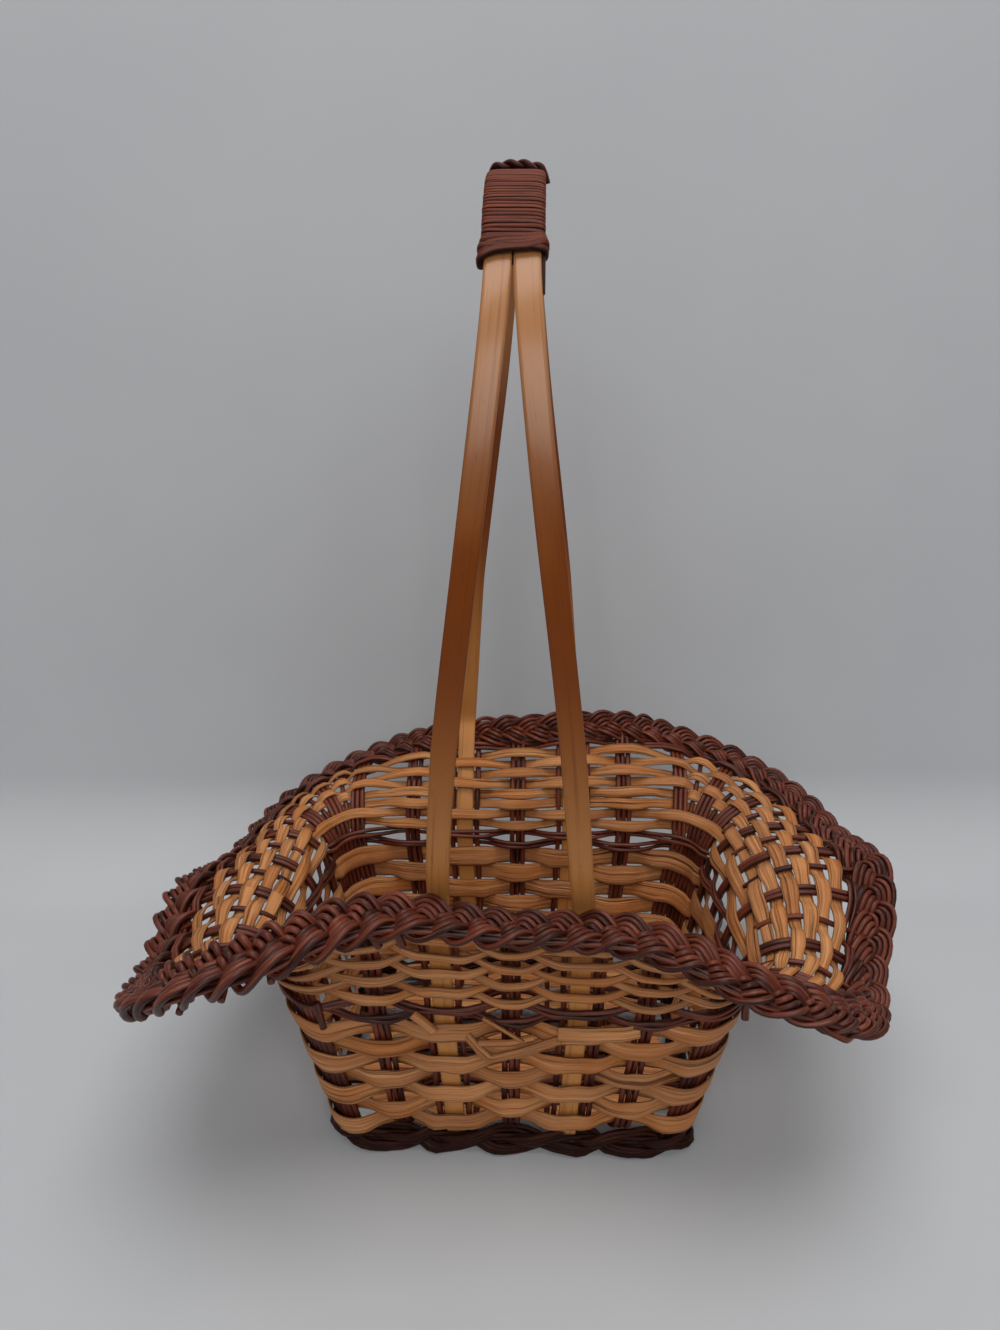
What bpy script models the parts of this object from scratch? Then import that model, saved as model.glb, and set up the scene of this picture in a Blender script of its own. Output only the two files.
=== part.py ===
"""Woven splint basket with a flared brim, a plaited border and a two-strip handle bound at its crown.

Metres, +Z up, standing on its foot. The front faces -Y. Every woven piece is placed on one surface:
a turn (share of one trip round the basket, anticlockwise from the middle of the front) and a level
(0 on the floor, 1 at the waist, 2 at the border) give a point, and a lift moves it off that surface.
"""

import bmesh
import bpy
import math
from mathutils import Matrix, Vector

# Body, measured on the middle of the weave
WAIST_WIDTH = 0.185
WAIST_DEPTH = 0.122
WAIST_CORNER = 0.020
WAIST_HEIGHT = 0.086
BASE_WIDTH = 0.150
BASE_DEPTH = 0.103
BASE_CORNER = 0.012

# Brim: its length along the stakes and the lean of its edge, at even steps of one turn
BRIM_LENGTH = 0.058
BRIM_CORNER_GROWTH = 0.032
BRIM_LENGTH_SHARES = (0.97, 0.90, 0.88, 1.05, 1.30, 1.12, 1.03, 1.02,
                      0.96, 0.93, 0.90, 0.94, 1.10, 1.18, 1.03, 1.04)
EDGE_LEAN_DEGREES = (23, 24, 63, 124, 96, 102, 84, 50,
                     47, 67, 104, 130, 112, 124, 54, 22)
BEND_SHARE = 0.7

# Woven stock
REED_DIAMETER = 0.0033
SPLINT_THICKNESS = 0.001
WALE_HEIGHT = 0.0038
WALE_THICKNESS = 0.0019
WALE_FLAT_SHARE = 0.55
WEAVE_CLEARANCE = 0.00036
BRIM_EXTRA_CLEARANCE = 0.00045
SEAT_GAP = 0.0003
STRIP_SEAT_GAP = 0.0006

# Body rows
BODY_ROWS = 7
ROW_PITCH = 0.0086
ROW_WIDTH = 0.0079
LOWEST_ROW = 0.0245
LOWER_WALE = 0.0827
UPPER_WALE_SHARE = 0.04

# Brim rows, as shares of the brim's length
BRIM_ROWS = 8
FIRST_BRIM_ROW_SHARE = 0.135
BRIM_ROW_STEP_SHARE = 0.077
BRIM_ROW_WIDTH_SHARE = 0.062
SLIGHT_TURN_DEGREES = 8
SHARP_TURN_DEGREES = 22
TOP_WALE_SHARE = 0.75
GATHERED_ROWS = 3

# Stake places along the waist, and the base plane they turn into
OUTER_STAKE_X = 0.053
HANDLE_STAKE_X = 0.0266
CORNER_SPACING = 0.0072
BASE_PLANE = 0.0143
BASE_BEND = 0.0058
BASE_BEND_DEGREES = (35, 90)
SIDE_END_STAKES = 4
HANDLE_REED_OFFSET = 0.0062

# Border and foot. The border lies flatter than the brim along the front, so it has a lean of its own,
# and it is slim at the back and broad at the front left corner.
BORDER_LEAN_DEGREES = (95, 98, 112, 126, 96, 102, 84, 50,
                       47, 67, 104, 130, 112, 126, 120, 101)
BORDER_SIZE_SHARES = (0.86, 0.95, 1.00, 1.05, 1.00, 0.95, 0.90, 0.85,
                      0.85, 0.82, 0.80, 0.90, 1.10, 1.20, 1.30, 1.05)
BORDER_WIDTH = 0.019
BORDER_THICKNESS = 0.0095
FOOT_WIDTH = 0.0098
FOOT_HEIGHT = 0.0122
FOOT_EDGE = 0.0022
BORDER_STEPS = 72
STAKE_BORDER_GAP = 0.0008
FOOT_STEPS = 40

# Handle strips
STRIP_WIDTH = 0.0082
STRIP_THICKNESS = 0.0025
HANDLE_REACH = 0.089
HANDLE_SPRING = 0.215
HANDLE_TOP = 0.3835
HANDLE_ROUNDNESS = 2.3
ARCH_STEPS = 24
RISE_SHARES = (0.25, 0.5, 0.75)
DRAW_POWER = 1.25
DRAW_BULGE_SHARE = 0.75
STRIP_SPLIT = 0.0004
STEP_IN_SHARE = 0.70
STRIP_BORDER_GAP = 0.0009

# Handle binding
BINDING_LOOPS = 23
CANE_WIDTH = 0.0038
CANE_THICKNESS = 0.0015
BINDING_SPAN = 0.120
BINDING_CLEARANCE = 0.0003
BINDING_CORNER_SHARE = 1.3
TIE_WIDTH = 0.0042
TIE_THICKNESS = 0.0024

# Base splints
BASE_SPLINT_WIDTH = 0.0105
BASE_SPLINT_REACH = 0.069
OUTER_SPLINT_REACH = 0.062

FRONT_STRAIGHT = WAIST_WIDTH / 2 - WAIST_CORNER
SIDE_STRAIGHT = WAIST_DEPTH / 2 - WAIST_CORNER
CORNER_WALK = math.pi / 2 * (WAIST_CORNER + BRIM_CORNER_GROWTH)
QUARTER_WALK = FRONT_STRAIGHT + CORNER_WALK + SIDE_STRAIGHT
QUARTERS = 4
REED_RADIUS = REED_DIAMETER / 2
REED_SIDES = 6
ROUND_SIDES = 8
SHARP_EDGE_DEGREES = 40
SMALL_TURN = 1e-4
LEAST_BEND = 1e-3
LIFT_PASSES = 8
WALK_STEPS = 12


# The surface that everything is woven on


def mix(first, second, share):
    return first + (second - first) * share


def plan(turn, rise):
    """Point and outward direction of the rounded outline; rise is 0 at the floor and 1 at the waist."""
    half_width = mix(BASE_WIDTH, WAIST_WIDTH, rise) / 2
    half_depth = mix(BASE_DEPTH, WAIST_DEPTH, rise) / 2
    corner = mix(BASE_CORNER, WAIST_CORNER, rise)
    quarter, within = divmod(turn % 1.0 * QUARTERS, 1)
    if quarter % 2:
        within = 1 - within
    walk = within * QUARTER_WALK
    if walk < FRONT_STRAIGHT:
        point = (walk / FRONT_STRAIGHT * (half_width - corner), -half_depth)
        outward = (0.0, -1.0)
    elif walk < FRONT_STRAIGHT + CORNER_WALK:
        angle = (walk - FRONT_STRAIGHT) / CORNER_WALK * math.pi / 2
        outward = (math.sin(angle), -math.cos(angle))
        point = (half_width - corner + corner * outward[0], corner - half_depth + corner * outward[1])
    else:
        left = 1 - (walk - FRONT_STRAIGHT - CORNER_WALK) / SIDE_STRAIGHT
        point = (half_width, -(half_depth - corner) * left)
        outward = (1.0, 0.0)
    side = 1 if quarter in (0, 1) else -1
    face = 1 if quarter in (0, 3) else -1
    return Vector((point[0] * side, point[1] * face, 0)), Vector((outward[0] * side, outward[1] * face, 0))


def around(values, turn):
    """Smooth closed curve through values at even steps of one turn."""
    count = len(values)
    step, t = divmod(turn % 1.0 * count, 1)
    before, here, after, beyond = (values[(int(step) + k) % count] for k in (-1, 0, 1, 2))
    bend = 2 * before - 5 * here + 4 * after - beyond
    twist = 3 * here - before - 3 * after + beyond
    return here + ((after - before) * t + bend * t * t + twist * t ** 3) / 2


def wall_lean(turn):
    foot, outward = plan(turn, 0)
    waist, outward = plan(turn, 1)
    return math.atan2((waist - foot).dot(outward), WAIST_HEIGHT)


def brim_length(turn):
    return BRIM_LENGTH * around(BRIM_LENGTH_SHARES, turn)


def surface(turn, level, lift=0.0):
    """World point at a turn and a level, lifted outward off the weave's middle surface."""
    point, outward = plan(turn, min(level, 1))
    lean = wall_lean(turn)
    height = WAIST_HEIGHT * min(level, 1)
    if level > 1:
        share = level - 1
        length = brim_length(turn)
        bend = (math.radians(around(EDGE_LEAN_DEGREES, turn)) - lean) / BEND_SHARE
        bend = math.copysign(max(abs(bend), LEAST_BEND), bend)
        curved = min(share, BEND_SHARE)
        start, lean = lean, lean + bend * curved
        straight = share - curved
        out = (math.cos(start) - math.cos(lean)) / bend + straight * math.sin(lean)
        up = (math.sin(lean) - math.sin(start)) / bend + straight * math.cos(lean)
        point = point + outward * out * length
        height += up * length
    normal = outward * math.cos(lean) - Vector((0, 0, math.sin(lean)))
    return Vector((point.x, point.y, height)) + normal * lift


def border_point(turn, across, out):
    """World point of the border: across its band from its middle line, and out from its face."""
    outward = plan(turn, 1)[1]
    lean = math.radians(around(BORDER_LEAN_DEGREES, turn))
    up = Vector((0, 0, 1))
    wide = outward * math.sin(lean) + up * math.cos(lean)
    face = outward * math.cos(lean) - up * math.sin(lean)
    return surface(turn, 2) + (wide * across + face * out) * around(BORDER_SIZE_SHARES, turn)


def border_turn(turn):
    """Angle between the border's band and the edge of the brim that it sits on."""
    return math.radians(around(BORDER_LEAN_DEGREES, turn) - around(EDGE_LEAN_DEGREES, turn))


def border_extents(turn):
    """Half size of the border's oval along the brim's edge and square to it."""
    over, up = math.sin(border_turn(turn)), math.cos(border_turn(turn))
    half = around(BORDER_SIZE_SHARES, turn) / 2
    along = math.hypot(BORDER_WIDTH * up, BORDER_THICKNESS * over) * half
    square = math.hypot(BORDER_WIDTH * over, BORDER_THICKNESS * up) * half
    return along, square


def border_distance(turn, side):
    """Distance down the brim from the border's middle to its skin, for a line beside the middle by side."""
    angle = border_turn(turn)
    half = around(BORDER_SIZE_SHARES, turn) / 2
    wide = (BORDER_WIDTH * half + STAKE_BORDER_GAP) ** -2
    thick = (BORDER_THICKNESS * half + STAKE_BORDER_GAP) ** -2
    square = math.cos(angle) ** 2 * wide + math.sin(angle) ** 2 * thick
    slope = side * math.sin(angle) * math.cos(angle) * (wide - thick)
    rest = side ** 2 * (math.sin(angle) ** 2 * wide + math.cos(angle) ** 2 * thick) - 1
    return (math.sqrt(slope ** 2 - square * rest) - slope) / square


def frame_at(turn, level):
    """Point, direction along the weave and outward normal of the surface."""
    point = surface(turn, level)
    along = (surface(turn + SMALL_TURN, level) - surface(turn - SMALL_TURN, level)).normalized()
    normal = (surface(turn, level, REED_DIAMETER) - point).normalized()
    normal = (normal - along * normal.dot(along)).normalized()
    return point, along, normal


def turn_at_walk(walk):
    return walk / QUARTER_WALK / QUARTERS


def chord_bow(turn):
    """How far a straight stake facet, two brim rows long, would bow off the curved brim, halved."""
    bend = (math.radians(around(EDGE_LEAN_DEGREES, turn)) - wall_lean(turn)) / BEND_SHARE
    return brim_length(turn) * (2 * BRIM_ROW_STEP_SHARE) ** 2 * abs(bend) / 8 / 2


def level_at(height):
    return height / WAIST_HEIGHT


# Where the stakes stand. Each is its turn at the base, at the waist and at the border.


def corner_turns():
    """Turns of the three stakes of the front right corner at base and waist."""
    middle = turn_at_walk(FRONT_STRAIGHT + CORNER_WALK / 2)
    base_step = CORNER_SPACING / (BASE_CORNER * math.pi / 2) * CORNER_WALK
    waist_step = CORNER_SPACING / (WAIST_CORNER * math.pi / 2) * CORNER_WALK
    return [(middle + turn_at_walk(base_step * k), middle + turn_at_walk(waist_step * k))
            for k in (-1, 0, 1)]


def side_stakes():
    """Keys of the ten stakes between the outer front stake and the outer back stake, on the right."""
    outer = turn_at_walk(OUTER_STAKE_X)
    front_corner = corner_turns()
    back_corner = [(0.5 - base, 0.5 - waist) for base, waist in reversed(front_corner)]
    first = front_corner[-1]
    last = back_corner[0]
    shares = [(k + 1) / (SIDE_END_STAKES + 1) for k in range(SIDE_END_STAKES)]
    ends = [(mix(first[0], last[0], share), mix(first[1], last[1], share)) for share in shares]
    places = front_corner + ends + back_corner
    step = (0.5 - 2 * outer) / (len(places) + 1)
    return [(base, waist, outer + step * (k + 1)) for k, (base, waist) in enumerate(places)]


def straight_stakes(middle):
    """Keys of stakes on the front or back wall, which keep one turn all the way."""
    places = [-OUTER_STAKE_X, -HANDLE_STAKE_X, 0, HANDLE_STAKE_X, OUTER_STAKE_X]
    turns = [middle + turn_at_walk(x) for x in places]
    return [(turn, turn, turn) for turn in turns]


def all_stakes():
    """Keys of the thirty brim stakes, anticlockwise from the middle of the front."""
    front = straight_stakes(1)
    back = straight_stakes(0.5)
    right = side_stakes()
    left = [tuple(turn + 0.5 for turn in key) for key in right]
    return front[2:] + right + back + left + front[:2]


STAKES = all_stakes()
FRONT_TO_BACK = ((28, 17, "left"), (0, 15, "middle"), (2, 13, "right"))
HANDLE_STAKES = ((29, 16, "left"), (1, 14, "right"))
END_TO_END = ((6, 24), (7, 23), (8, 22), (9, 21))
CORNERS = {"front_right": (3, 4, 5), "back_right": (10, 11, 12),
           "back_left": (18, 19, 20), "front_left": (25, 26, 27)}


def stake_turn(stake, level):
    base, waist, border = STAKES[stake]
    if level < 1:
        return mix(base, waist, level)
    return mix(waist, border, level - 1)


# Meshes and materials


def material(name, colour, roughness, metallic=0.0):
    made = bpy.data.materials.get(name)
    if made is None:
        made = bpy.data.materials.new(name)
        made.use_nodes = True
        shader = made.node_tree.nodes["Principled BSDF"]
        shader.inputs["Base Color"].default_value = (*colour, 1)
        shader.inputs["Roughness"].default_value = roughness
        shader.inputs["Metallic"].default_value = metallic
    return made


def dark_reed():
    return material("dark_reed", (0.085, 0.030, 0.018), 0.50)


def pale_splint():
    return material("pale_splint", (0.46, 0.235, 0.085), 0.58)


def handle_strip():
    return material("handle_strip", (0.40, 0.19, 0.06), 0.38)


def binding_cane():
    return material("binding_cane", (0.17, 0.052, 0.026), 0.45)


def loft(name, sections, closed, look, smooth=True):
    """Solid through a row of like sections, closed into a ring or capped at both ends."""
    shape = bmesh.new()
    rows = [[shape.verts.new(point) for point in section] for section in sections]
    count = len(rows)
    sides = len(rows[0])
    for i in range(count if closed else count - 1):
        here, following = rows[i], rows[(i + 1) % count]
        for k in range(sides):
            after = (k + 1) % sides
            shape.faces.new((here[k], here[after], following[after], following[k]))
    if not closed:
        shape.faces.new(rows[0])
        shape.faces.new(rows[-1])
    bmesh.ops.recalc_face_normals(shape, faces=shape.faces)
    bmesh.ops.triangulate(shape, faces=shape.faces)
    if shape.calc_volume(signed=True) < 0:
        bmesh.ops.reverse_faces(shape, faces=shape.faces)
    mesh = bpy.data.meshes.new(name)
    shape.to_mesh(mesh)
    shape.free()
    mesh.materials.append(look)
    if smooth:
        mesh.shade_smooth()
        mesh.set_sharp_from_angle(angle=math.radians(SHARP_EDGE_DEGREES))
    made = bpy.data.objects.new(name, mesh)
    bpy.context.collection.objects.link(made)
    return made


def oval(width, thickness, sides):
    """Outline with its wide direction first."""
    steps = (math.tau * (k + 0.5) / sides for k in range(sides))
    return [(width / 2 * math.cos(a), thickness / 2 * math.sin(a)) for a in steps]


def reed_pair():
    """Two reeds side by side as one outline, with a groove between them."""
    wide, deep, groove = REED_DIAMETER, REED_RADIUS, REED_RADIUS / 2
    return [(wide, 0), (wide / 2, deep), (0, groove), (-wide / 2, deep),
            (-wide, 0), (-wide / 2, -deep), (0, -groove), (wide / 2, -deep)]


def rectangle(width, thickness):
    return [(width / 2, thickness / 2), (-width / 2, thickness / 2),
            (-width / 2, -thickness / 2), (width / 2, -thickness / 2)]


def placed(outline, point, wide, deep):
    return [point + wide * a + deep * b for a, b in outline]


# Rows and wales


def weave_lift(pitch, thickness, inset):
    """Lift that carries a weaver clear over a stake: its slope between stakes depends on the lift."""
    clear = thickness / 2 + WEAVE_CLEARANCE
    lift = REED_RADIUS + clear
    for _ in range(LIFT_PASSES):
        slope = 2 * lift / pitch
        lift = slope * inset + REED_RADIUS * math.hypot(1, slope) + clear
    return lift


def crossings(level, gathered):
    """Each pass of a weaver: the turns it is level over, in order, as one group per pass."""
    groups = []
    for stake in range(len(STAKES)):
        turn = stake_turn(stake, level)
        here = surface(turn, level)
        reach = (surface(turn + SMALL_TURN, level) - here).length / SMALL_TURN
        in_corner = any(stake in corner for corner in CORNERS.values())
        first_of_corner = any(stake == corner[0] for corner in CORNERS.values())
        if stake in HANDLE_STAKES[0] or stake in HANDLE_STAKES[1]:
            step = HANDLE_REED_OFFSET / reach
            groups.append([turn - step, turn + step])
        elif gathered and in_corner and not first_of_corner:
            groups[-1].append(turn)
        else:
            groups.append([turn])
    return groups


def surface_turning(first, second, level):
    """How much the surface turns between two places on one level, in plan and in lean."""
    turning = plan(first, 1)[1].angle(plan(second, 1)[1])
    if level > 1:
        lean_change = around(EDGE_LEAN_DEGREES, first) - around(EDGE_LEAN_DEGREES, second)
        turning += abs(math.radians(lean_change)) * (level - 1)
    return turning


def between_shares(turning):
    """Where a row needs sections between two crossings, as shares of the way."""
    if turning > math.radians(SHARP_TURN_DEGREES):
        return (1 / 3, 2 / 3)
    if turning > math.radians(SLIGHT_TURN_DEGREES):
        return (1 / 2,)
    return ()


def turn_between(first, second, level, share):
    """Turn at a share of the distance from one turn to another, along the surface."""
    turns = [mix(first, second, k / WALK_STEPS) for k in range(WALK_STEPS + 1)]
    points = [surface(turn, level) for turn in turns]
    steps = [(after - before).length for before, after in zip(points, points[1:])]
    left = share * sum(steps)
    for turn, following, step in zip(turns, turns[1:], steps):
        if left <= step:
            return mix(turn, following, left / step)
        left -= step
    return second


def weaver_path(level, thickness, first_side, gathered):
    """Turns and lifts of one row: out over one group and in behind the next."""
    groups = crossings(level, gathered)
    count = len(groups)
    path = []
    for i, group in enumerate(groups):
        before = groups[i - 1][-1]
        after = groups[(i + 1) % count][0]
        gaps = []
        for own, other in ((group[0], before), (group[-1], after)):
            gaps.append((surface(own, level) - surface(other, level)).length)
        side = first_side if i % 2 == 0 else -first_side
        lift = weave_lift(min(gaps), thickness, REED_RADIUS)
        if level > 1 + UPPER_WALE_SHARE:
            lift += chord_bow(group[0]) + BRIM_EXTRA_CLEARANCE
        lift *= side
        path += [(turn, lift) for turn in group]
        ahead = after - group[-1]
        ahead += 1 if ahead < -0.5 else 0
        for share in between_shares(surface_turning(group[-1], after, level)):
            path.append((turn_between(group[-1], group[-1] + ahead, level, share), lift * (1 - 2 * share)))
    return path


def woven_row(name, level, half_level, thickness, first_side, gathered, look):
    """A flat splint: its section follows the surface, so neighbouring rows can't meet."""
    sections = []
    for turn, lift in weaver_path(level, thickness, first_side, gathered):
        half = half_level(turn)
        sections.append([surface(turn, level + half * a, lift + thickness * b)
                         for a, b in rectangle(2, 1)])
    return loft(name, sections, True, look, smooth=False)


def woven_wale(name, level, half_level, first_side, gathered):
    """Two thin reeds worked as one, a little rounder than a splint."""
    outline = [(1, 0), (WALE_FLAT_SHARE, 0.5), (-WALE_FLAT_SHARE, 0.5),
               (-1, 0), (-WALE_FLAT_SHARE, -0.5), (WALE_FLAT_SHARE, -0.5)]
    sections = []
    for turn, lift in weaver_path(level, WALE_THICKNESS, first_side, gathered):
        half = half_level(turn)
        sections.append([surface(turn, level + half * a, lift + WALE_THICKNESS * b) for a, b in outline])
    return loft(name, sections, True, dark_reed())


def brim_share(length):
    """A fixed length as a share of the brim, whose length changes round the basket."""
    return lambda turn: length / brim_length(turn)


def body_rows():
    half = level_at(ROW_WIDTH / 2)
    for row in range(BODY_ROWS):
        level = level_at(LOWEST_ROW + ROW_PITCH * row)
        side = -1 if row % 2 == 0 else 1
        woven_row(f"body_row_{row + 1}", level, lambda turn: half, SPLINT_THICKNESS, side, True,
                  pale_splint())


def brim_rows():
    half = BRIM_ROW_WIDTH_SHARE / 2
    for row in range(BRIM_ROWS):
        level = 1 + FIRST_BRIM_ROW_SHARE + BRIM_ROW_STEP_SHARE * row
        side = 1 if row % 2 == 0 else -1
        woven_row(f"brim_row_{row + 1}", level, lambda turn: half, SPLINT_THICKNESS, side,
                  row < GATHERED_ROWS, pale_splint())


def wales():
    body_half = level_at(WALE_HEIGHT / 2)
    brim_half = brim_share(WALE_HEIGHT / 2)
    woven_wale("waist_wale_lower", level_at(LOWER_WALE), lambda turn: body_half, 1, True)
    woven_wale("waist_wale_upper", 1 + UPPER_WALE_SHARE, brim_half, -1, True)
    woven_wale("top_wale", 1 + TOP_WALE_SHARE, brim_half, 1, False)


# Stakes


def brim_levels():
    """Waist, every other row of the brim and the top wale: where a stake's facets meet."""
    every_other = [1 + FIRST_BRIM_ROW_SHARE + BRIM_ROW_STEP_SHARE * row for row in range(0, BRIM_ROWS, 2)]
    return [1.0, *every_other, 1 + TOP_WALE_SHARE]


def stake_levels(stake):
    """From the base bend to the lower edge of the border."""
    turn = stake_turn(stake, 2)
    clear = max(border_distance(turn, REED_RADIUS), border_distance(turn, -REED_RADIUS))
    return [level_at(BASE_PLANE + BASE_BEND), *brim_levels(), 2 - brim_share(clear)(turn)]


def climb(stake, offset=0.0):
    """Point, width direction and outward normal up one stake, from the base bend to the border."""
    stations = []
    for level in stake_levels(stake):
        turn = stake_turn(stake, level)
        point, along, normal = frame_at(turn, level)
        if level > 1:
            point = point - normal * chord_bow(turn)
        stations.append((point + along * offset, along, normal))
    return stations


def base_bend(station):
    """Stations that turn a stake from the wall into the base plane, in its own upright plane."""
    point, along, normal = station
    inward = Vector((-normal.x, -normal.y, 0)).normalized()
    flat = Vector((0, 0, -1))
    bend = []
    for degrees in BASE_BEND_DEGREES:
        angle = math.radians(degrees)
        drop = BASE_BEND * math.sin(angle)
        run = BASE_BEND * (1 - math.cos(angle))
        facing = -inward * math.cos(angle) + flat * math.sin(angle)
        bend.append((point - Vector((0, 0, drop)) + inward * run, along, facing))
    return bend


def through_stake(name, first, second, outline, offset, crossing_heights):
    """A stake from border to border under the base: down one wall, across and up the other."""
    rise = climb(first, offset)
    fall = climb(second, -offset)
    down = list(reversed(rise)) + base_bend(rise[0])
    up = list(reversed(base_bend(fall[0]))) + fall
    up = [(point, -along, normal) for point, along, normal in up]
    start, end = down[-1][0], up[0][0]
    across = []
    for share, height in crossing_heights:
        point = start.lerp(end, share)
        across.append((Vector((point.x, point.y, BASE_PLANE + height)), down[-1][1], Vector((0, 0, -1))))
    sections = [placed(outline, *station) for station in down + across + up]
    return loft(name, sections, False, dark_reed())


def crosswise_stakes():
    for front, back, place in FRONT_TO_BACK:
        through_stake(f"crosswise_stakes_{place}", front, back, reed_pair(), 0, ())
    single = oval(REED_DIAMETER, REED_DIAMETER, REED_SIDES)
    for front, back, place in HANDLE_STAKES:
        for side, word in ((-1, "left"), (1, "right")):
            through_stake(f"handle_{place}_reed_{word}", front, back, single, side * HANDLE_REED_OFFSET, ())


def crossing_places():
    """X of every crosswise group where it runs over the base."""
    places = []
    for front, back, place in FRONT_TO_BACK:
        places.append((climb(front)[0][0].x,))
    for front, back, place in HANDLE_STAKES:
        middle = climb(front)[0][0].x
        places.append((middle - HANDLE_REED_OFFSET, middle + HANDLE_REED_OFFSET))
    return sorted(places)


def base_heights(start, end, thickness, first_side):
    """Shares and heights where a lengthwise piece passes over and under the crosswise groups."""
    groups = crossing_places()
    gap = min(after[0] - before[-1] for before, after in zip(groups, groups[1:]))
    lift = weave_lift(gap, thickness, REED_RADIUS)
    heights = []
    for i, group in enumerate(groups):
        side = first_side if i % 2 == 0 else -first_side
        heights += [((x - start) / (end - start), side * lift) for x in group]
    return sorted(heights)


def lengthwise_stakes():
    for i, (right, left) in enumerate(END_TO_END):
        start = base_bend(climb(left)[0])[-1][0].x
        end = base_bend(climb(right)[0])[-1][0].x
        heights = base_heights(start, end, REED_DIAMETER, 1 if i % 2 else -1)
        through_stake(f"lengthwise_stakes_{i + 1}", left, right, reed_pair(), 0, heights)


def base_splints():
    """Flat splints that fill the base between the lengthwise stakes."""
    rows = [base_bend(climb(right)[0])[-1][0].y for right, left in END_TO_END]
    step = rows[1] - rows[0]
    places = [rows[0] - step / 2] + [(a + b) / 2 for a, b in zip(rows, rows[1:])] + [rows[-1] + step / 2]
    for i, y in enumerate(places):
        reach = OUTER_SPLINT_REACH if i in (0, len(places) - 1) else BASE_SPLINT_REACH
        passes = base_heights(-reach, reach, SPLINT_THICKNESS, 1)
        sections = []
        for share, height in [(0.0, 0.0)] + passes + [(1.0, 0.0)]:
            point = Vector((mix(-reach, reach, share), y, BASE_PLANE + height))
            sections.append(placed(rectangle(BASE_SPLINT_WIDTH, SPLINT_THICKNESS), point,
                                   Vector((0, 1, 0)), Vector((0, 0, 1))))
        loft(f"base_splint_{i + 1}", sections, False, pale_splint(), smooth=False)


def corner_stakes():
    """Corner pairs stand on the foot ring, close together in the body, and fan out over the brim."""
    outline = reed_pair()
    for corner, stakes in CORNERS.items():
        for i, stake in enumerate(stakes):
            foot = level_at(FOOT_HEIGHT + SEAT_GAP)
            point, along, normal = frame_at(stake_turn(stake, foot), foot)
            stations = [(point, along, along.cross(Vector((0, 0, 1))))] + climb(stake)[1:]
            sections = [placed(outline, *station) for station in stations]
            loft(f"corner_stake_{corner}_{i + 1}", sections, False, dark_reed())


# Border and foot


def border_ring():
    sections = []
    for k in range(BORDER_STEPS):
        outline = oval(BORDER_WIDTH, BORDER_THICKNESS, ROUND_SIDES)
        sections.append([border_point(k / BORDER_STEPS, a, b) for a, b in outline])
    loft("plaited_border", sections, True, dark_reed())


def foot_ring():
    """Foot under the wall line, flat where it stands."""
    half = FOOT_WIDTH / 2
    outline = ((half - FOOT_EDGE, 0), (half, FOOT_EDGE), (half, FOOT_HEIGHT - FOOT_EDGE),
               (half - FOOT_EDGE, FOOT_HEIGHT), (FOOT_EDGE - half, FOOT_HEIGHT),
               (-half, FOOT_HEIGHT - FOOT_EDGE), (-half, FOOT_EDGE), (FOOT_EDGE - half, 0))
    sections = []
    for k in range(FOOT_STEPS):
        point, outward = plan(k / FOOT_STEPS, level_at(FOOT_HEIGHT))
        sections.append([point + outward * a + Vector((0, 0, b)) for a, b in outline])
    loft("foot_ring", sections, True, dark_reed())


# Handle


def crown_curve():
    """Free part of a strip in its side view, from the front spring to the back: a rounded arch."""
    points = []
    for k in range(ARCH_STEPS + 1):
        angle = math.pi * k / ARCH_STEPS
        y = math.copysign(abs(math.cos(angle)) ** (2 / HANDLE_ROUNDNESS), -math.cos(angle)) * HANDLE_REACH
        z = HANDLE_SPRING + (HANDLE_TOP - HANDLE_SPRING) * math.sin(angle) ** (2 / HANDLE_ROUNDNESS)
        points.append((y, z))
    return points


def strip_side(stake):
    """One strip's points from the foot up through the weave and in past the border."""
    turn = stake_turn(stake, 1)
    along, square = border_extents(turn)
    border_half = brim_share(along)(turn)
    clear = square + STRIP_THICKNESS / 2 + STRIP_BORDER_GAP
    step_in = mix(STEP_IN_SHARE, 1, abs(math.sin(border_turn(turn))))
    wale_top = TOP_WALE_SHARE + brim_share(WALE_HEIGHT / 2 + SEAT_GAP)(turn)
    stations = [(level_at(FOOT_HEIGHT + STRIP_SEAT_GAP), 0)] + [(level, 0) for level in brim_levels()[:-1]]
    stations += [(1 + wale_top, 0), (2 - border_half, -clear * step_in), (2 - border_half / 2, -clear),
                 (2 + border_half / 2, -clear)]
    return [surface(turn, level, lift) for level, lift in stations]


def ease_up(low, high, share):
    """Point on a bowed run that meets the upright strip at its upper end."""
    point = low.lerp(high, share)
    point.y = mix(low.y, high.y, 1 - (1 - share) ** 2)
    return point


def strip_path(front, back, side):
    """Whole strip as points, front foot to back foot, drawn together at the crown."""
    lower_front = strip_side(front)
    lower_back = strip_side(back)
    arch = crown_curve()
    parted = abs(lower_front[-1].x)
    together = (STRIP_WIDTH + STRIP_SPLIT) / 2
    run_start = lower_front[-1].z
    bound = BINDING_SPAN / 2
    travelled = [0.0]
    for here, following in zip(arch, arch[1:]):
        travelled.append(travelled[-1] + math.dist(here, following))
    middle = travelled[-1] / 2
    free = middle - bound + (HANDLE_SPRING - run_start)
    drawn = []
    for (y, z), done in zip(arch, travelled):
        from_bound = max(abs(done - middle) - bound, 0)
        share = min(from_bound / free, 1)
        x = mix(together, parted, share ** DRAW_POWER + DRAW_BULGE_SHARE * share ** 2 * (1 - share))
        drawn.append(Vector((side * x, y, z)))
    rise = [ease_up(lower_front[-1], drawn[0], share) for share in RISE_SHARES]
    fall = [ease_up(lower_back[-1], drawn[-1], share) for share in reversed(RISE_SHARES)]
    return lower_front + rise + drawn + fall + list(reversed(lower_back))


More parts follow.
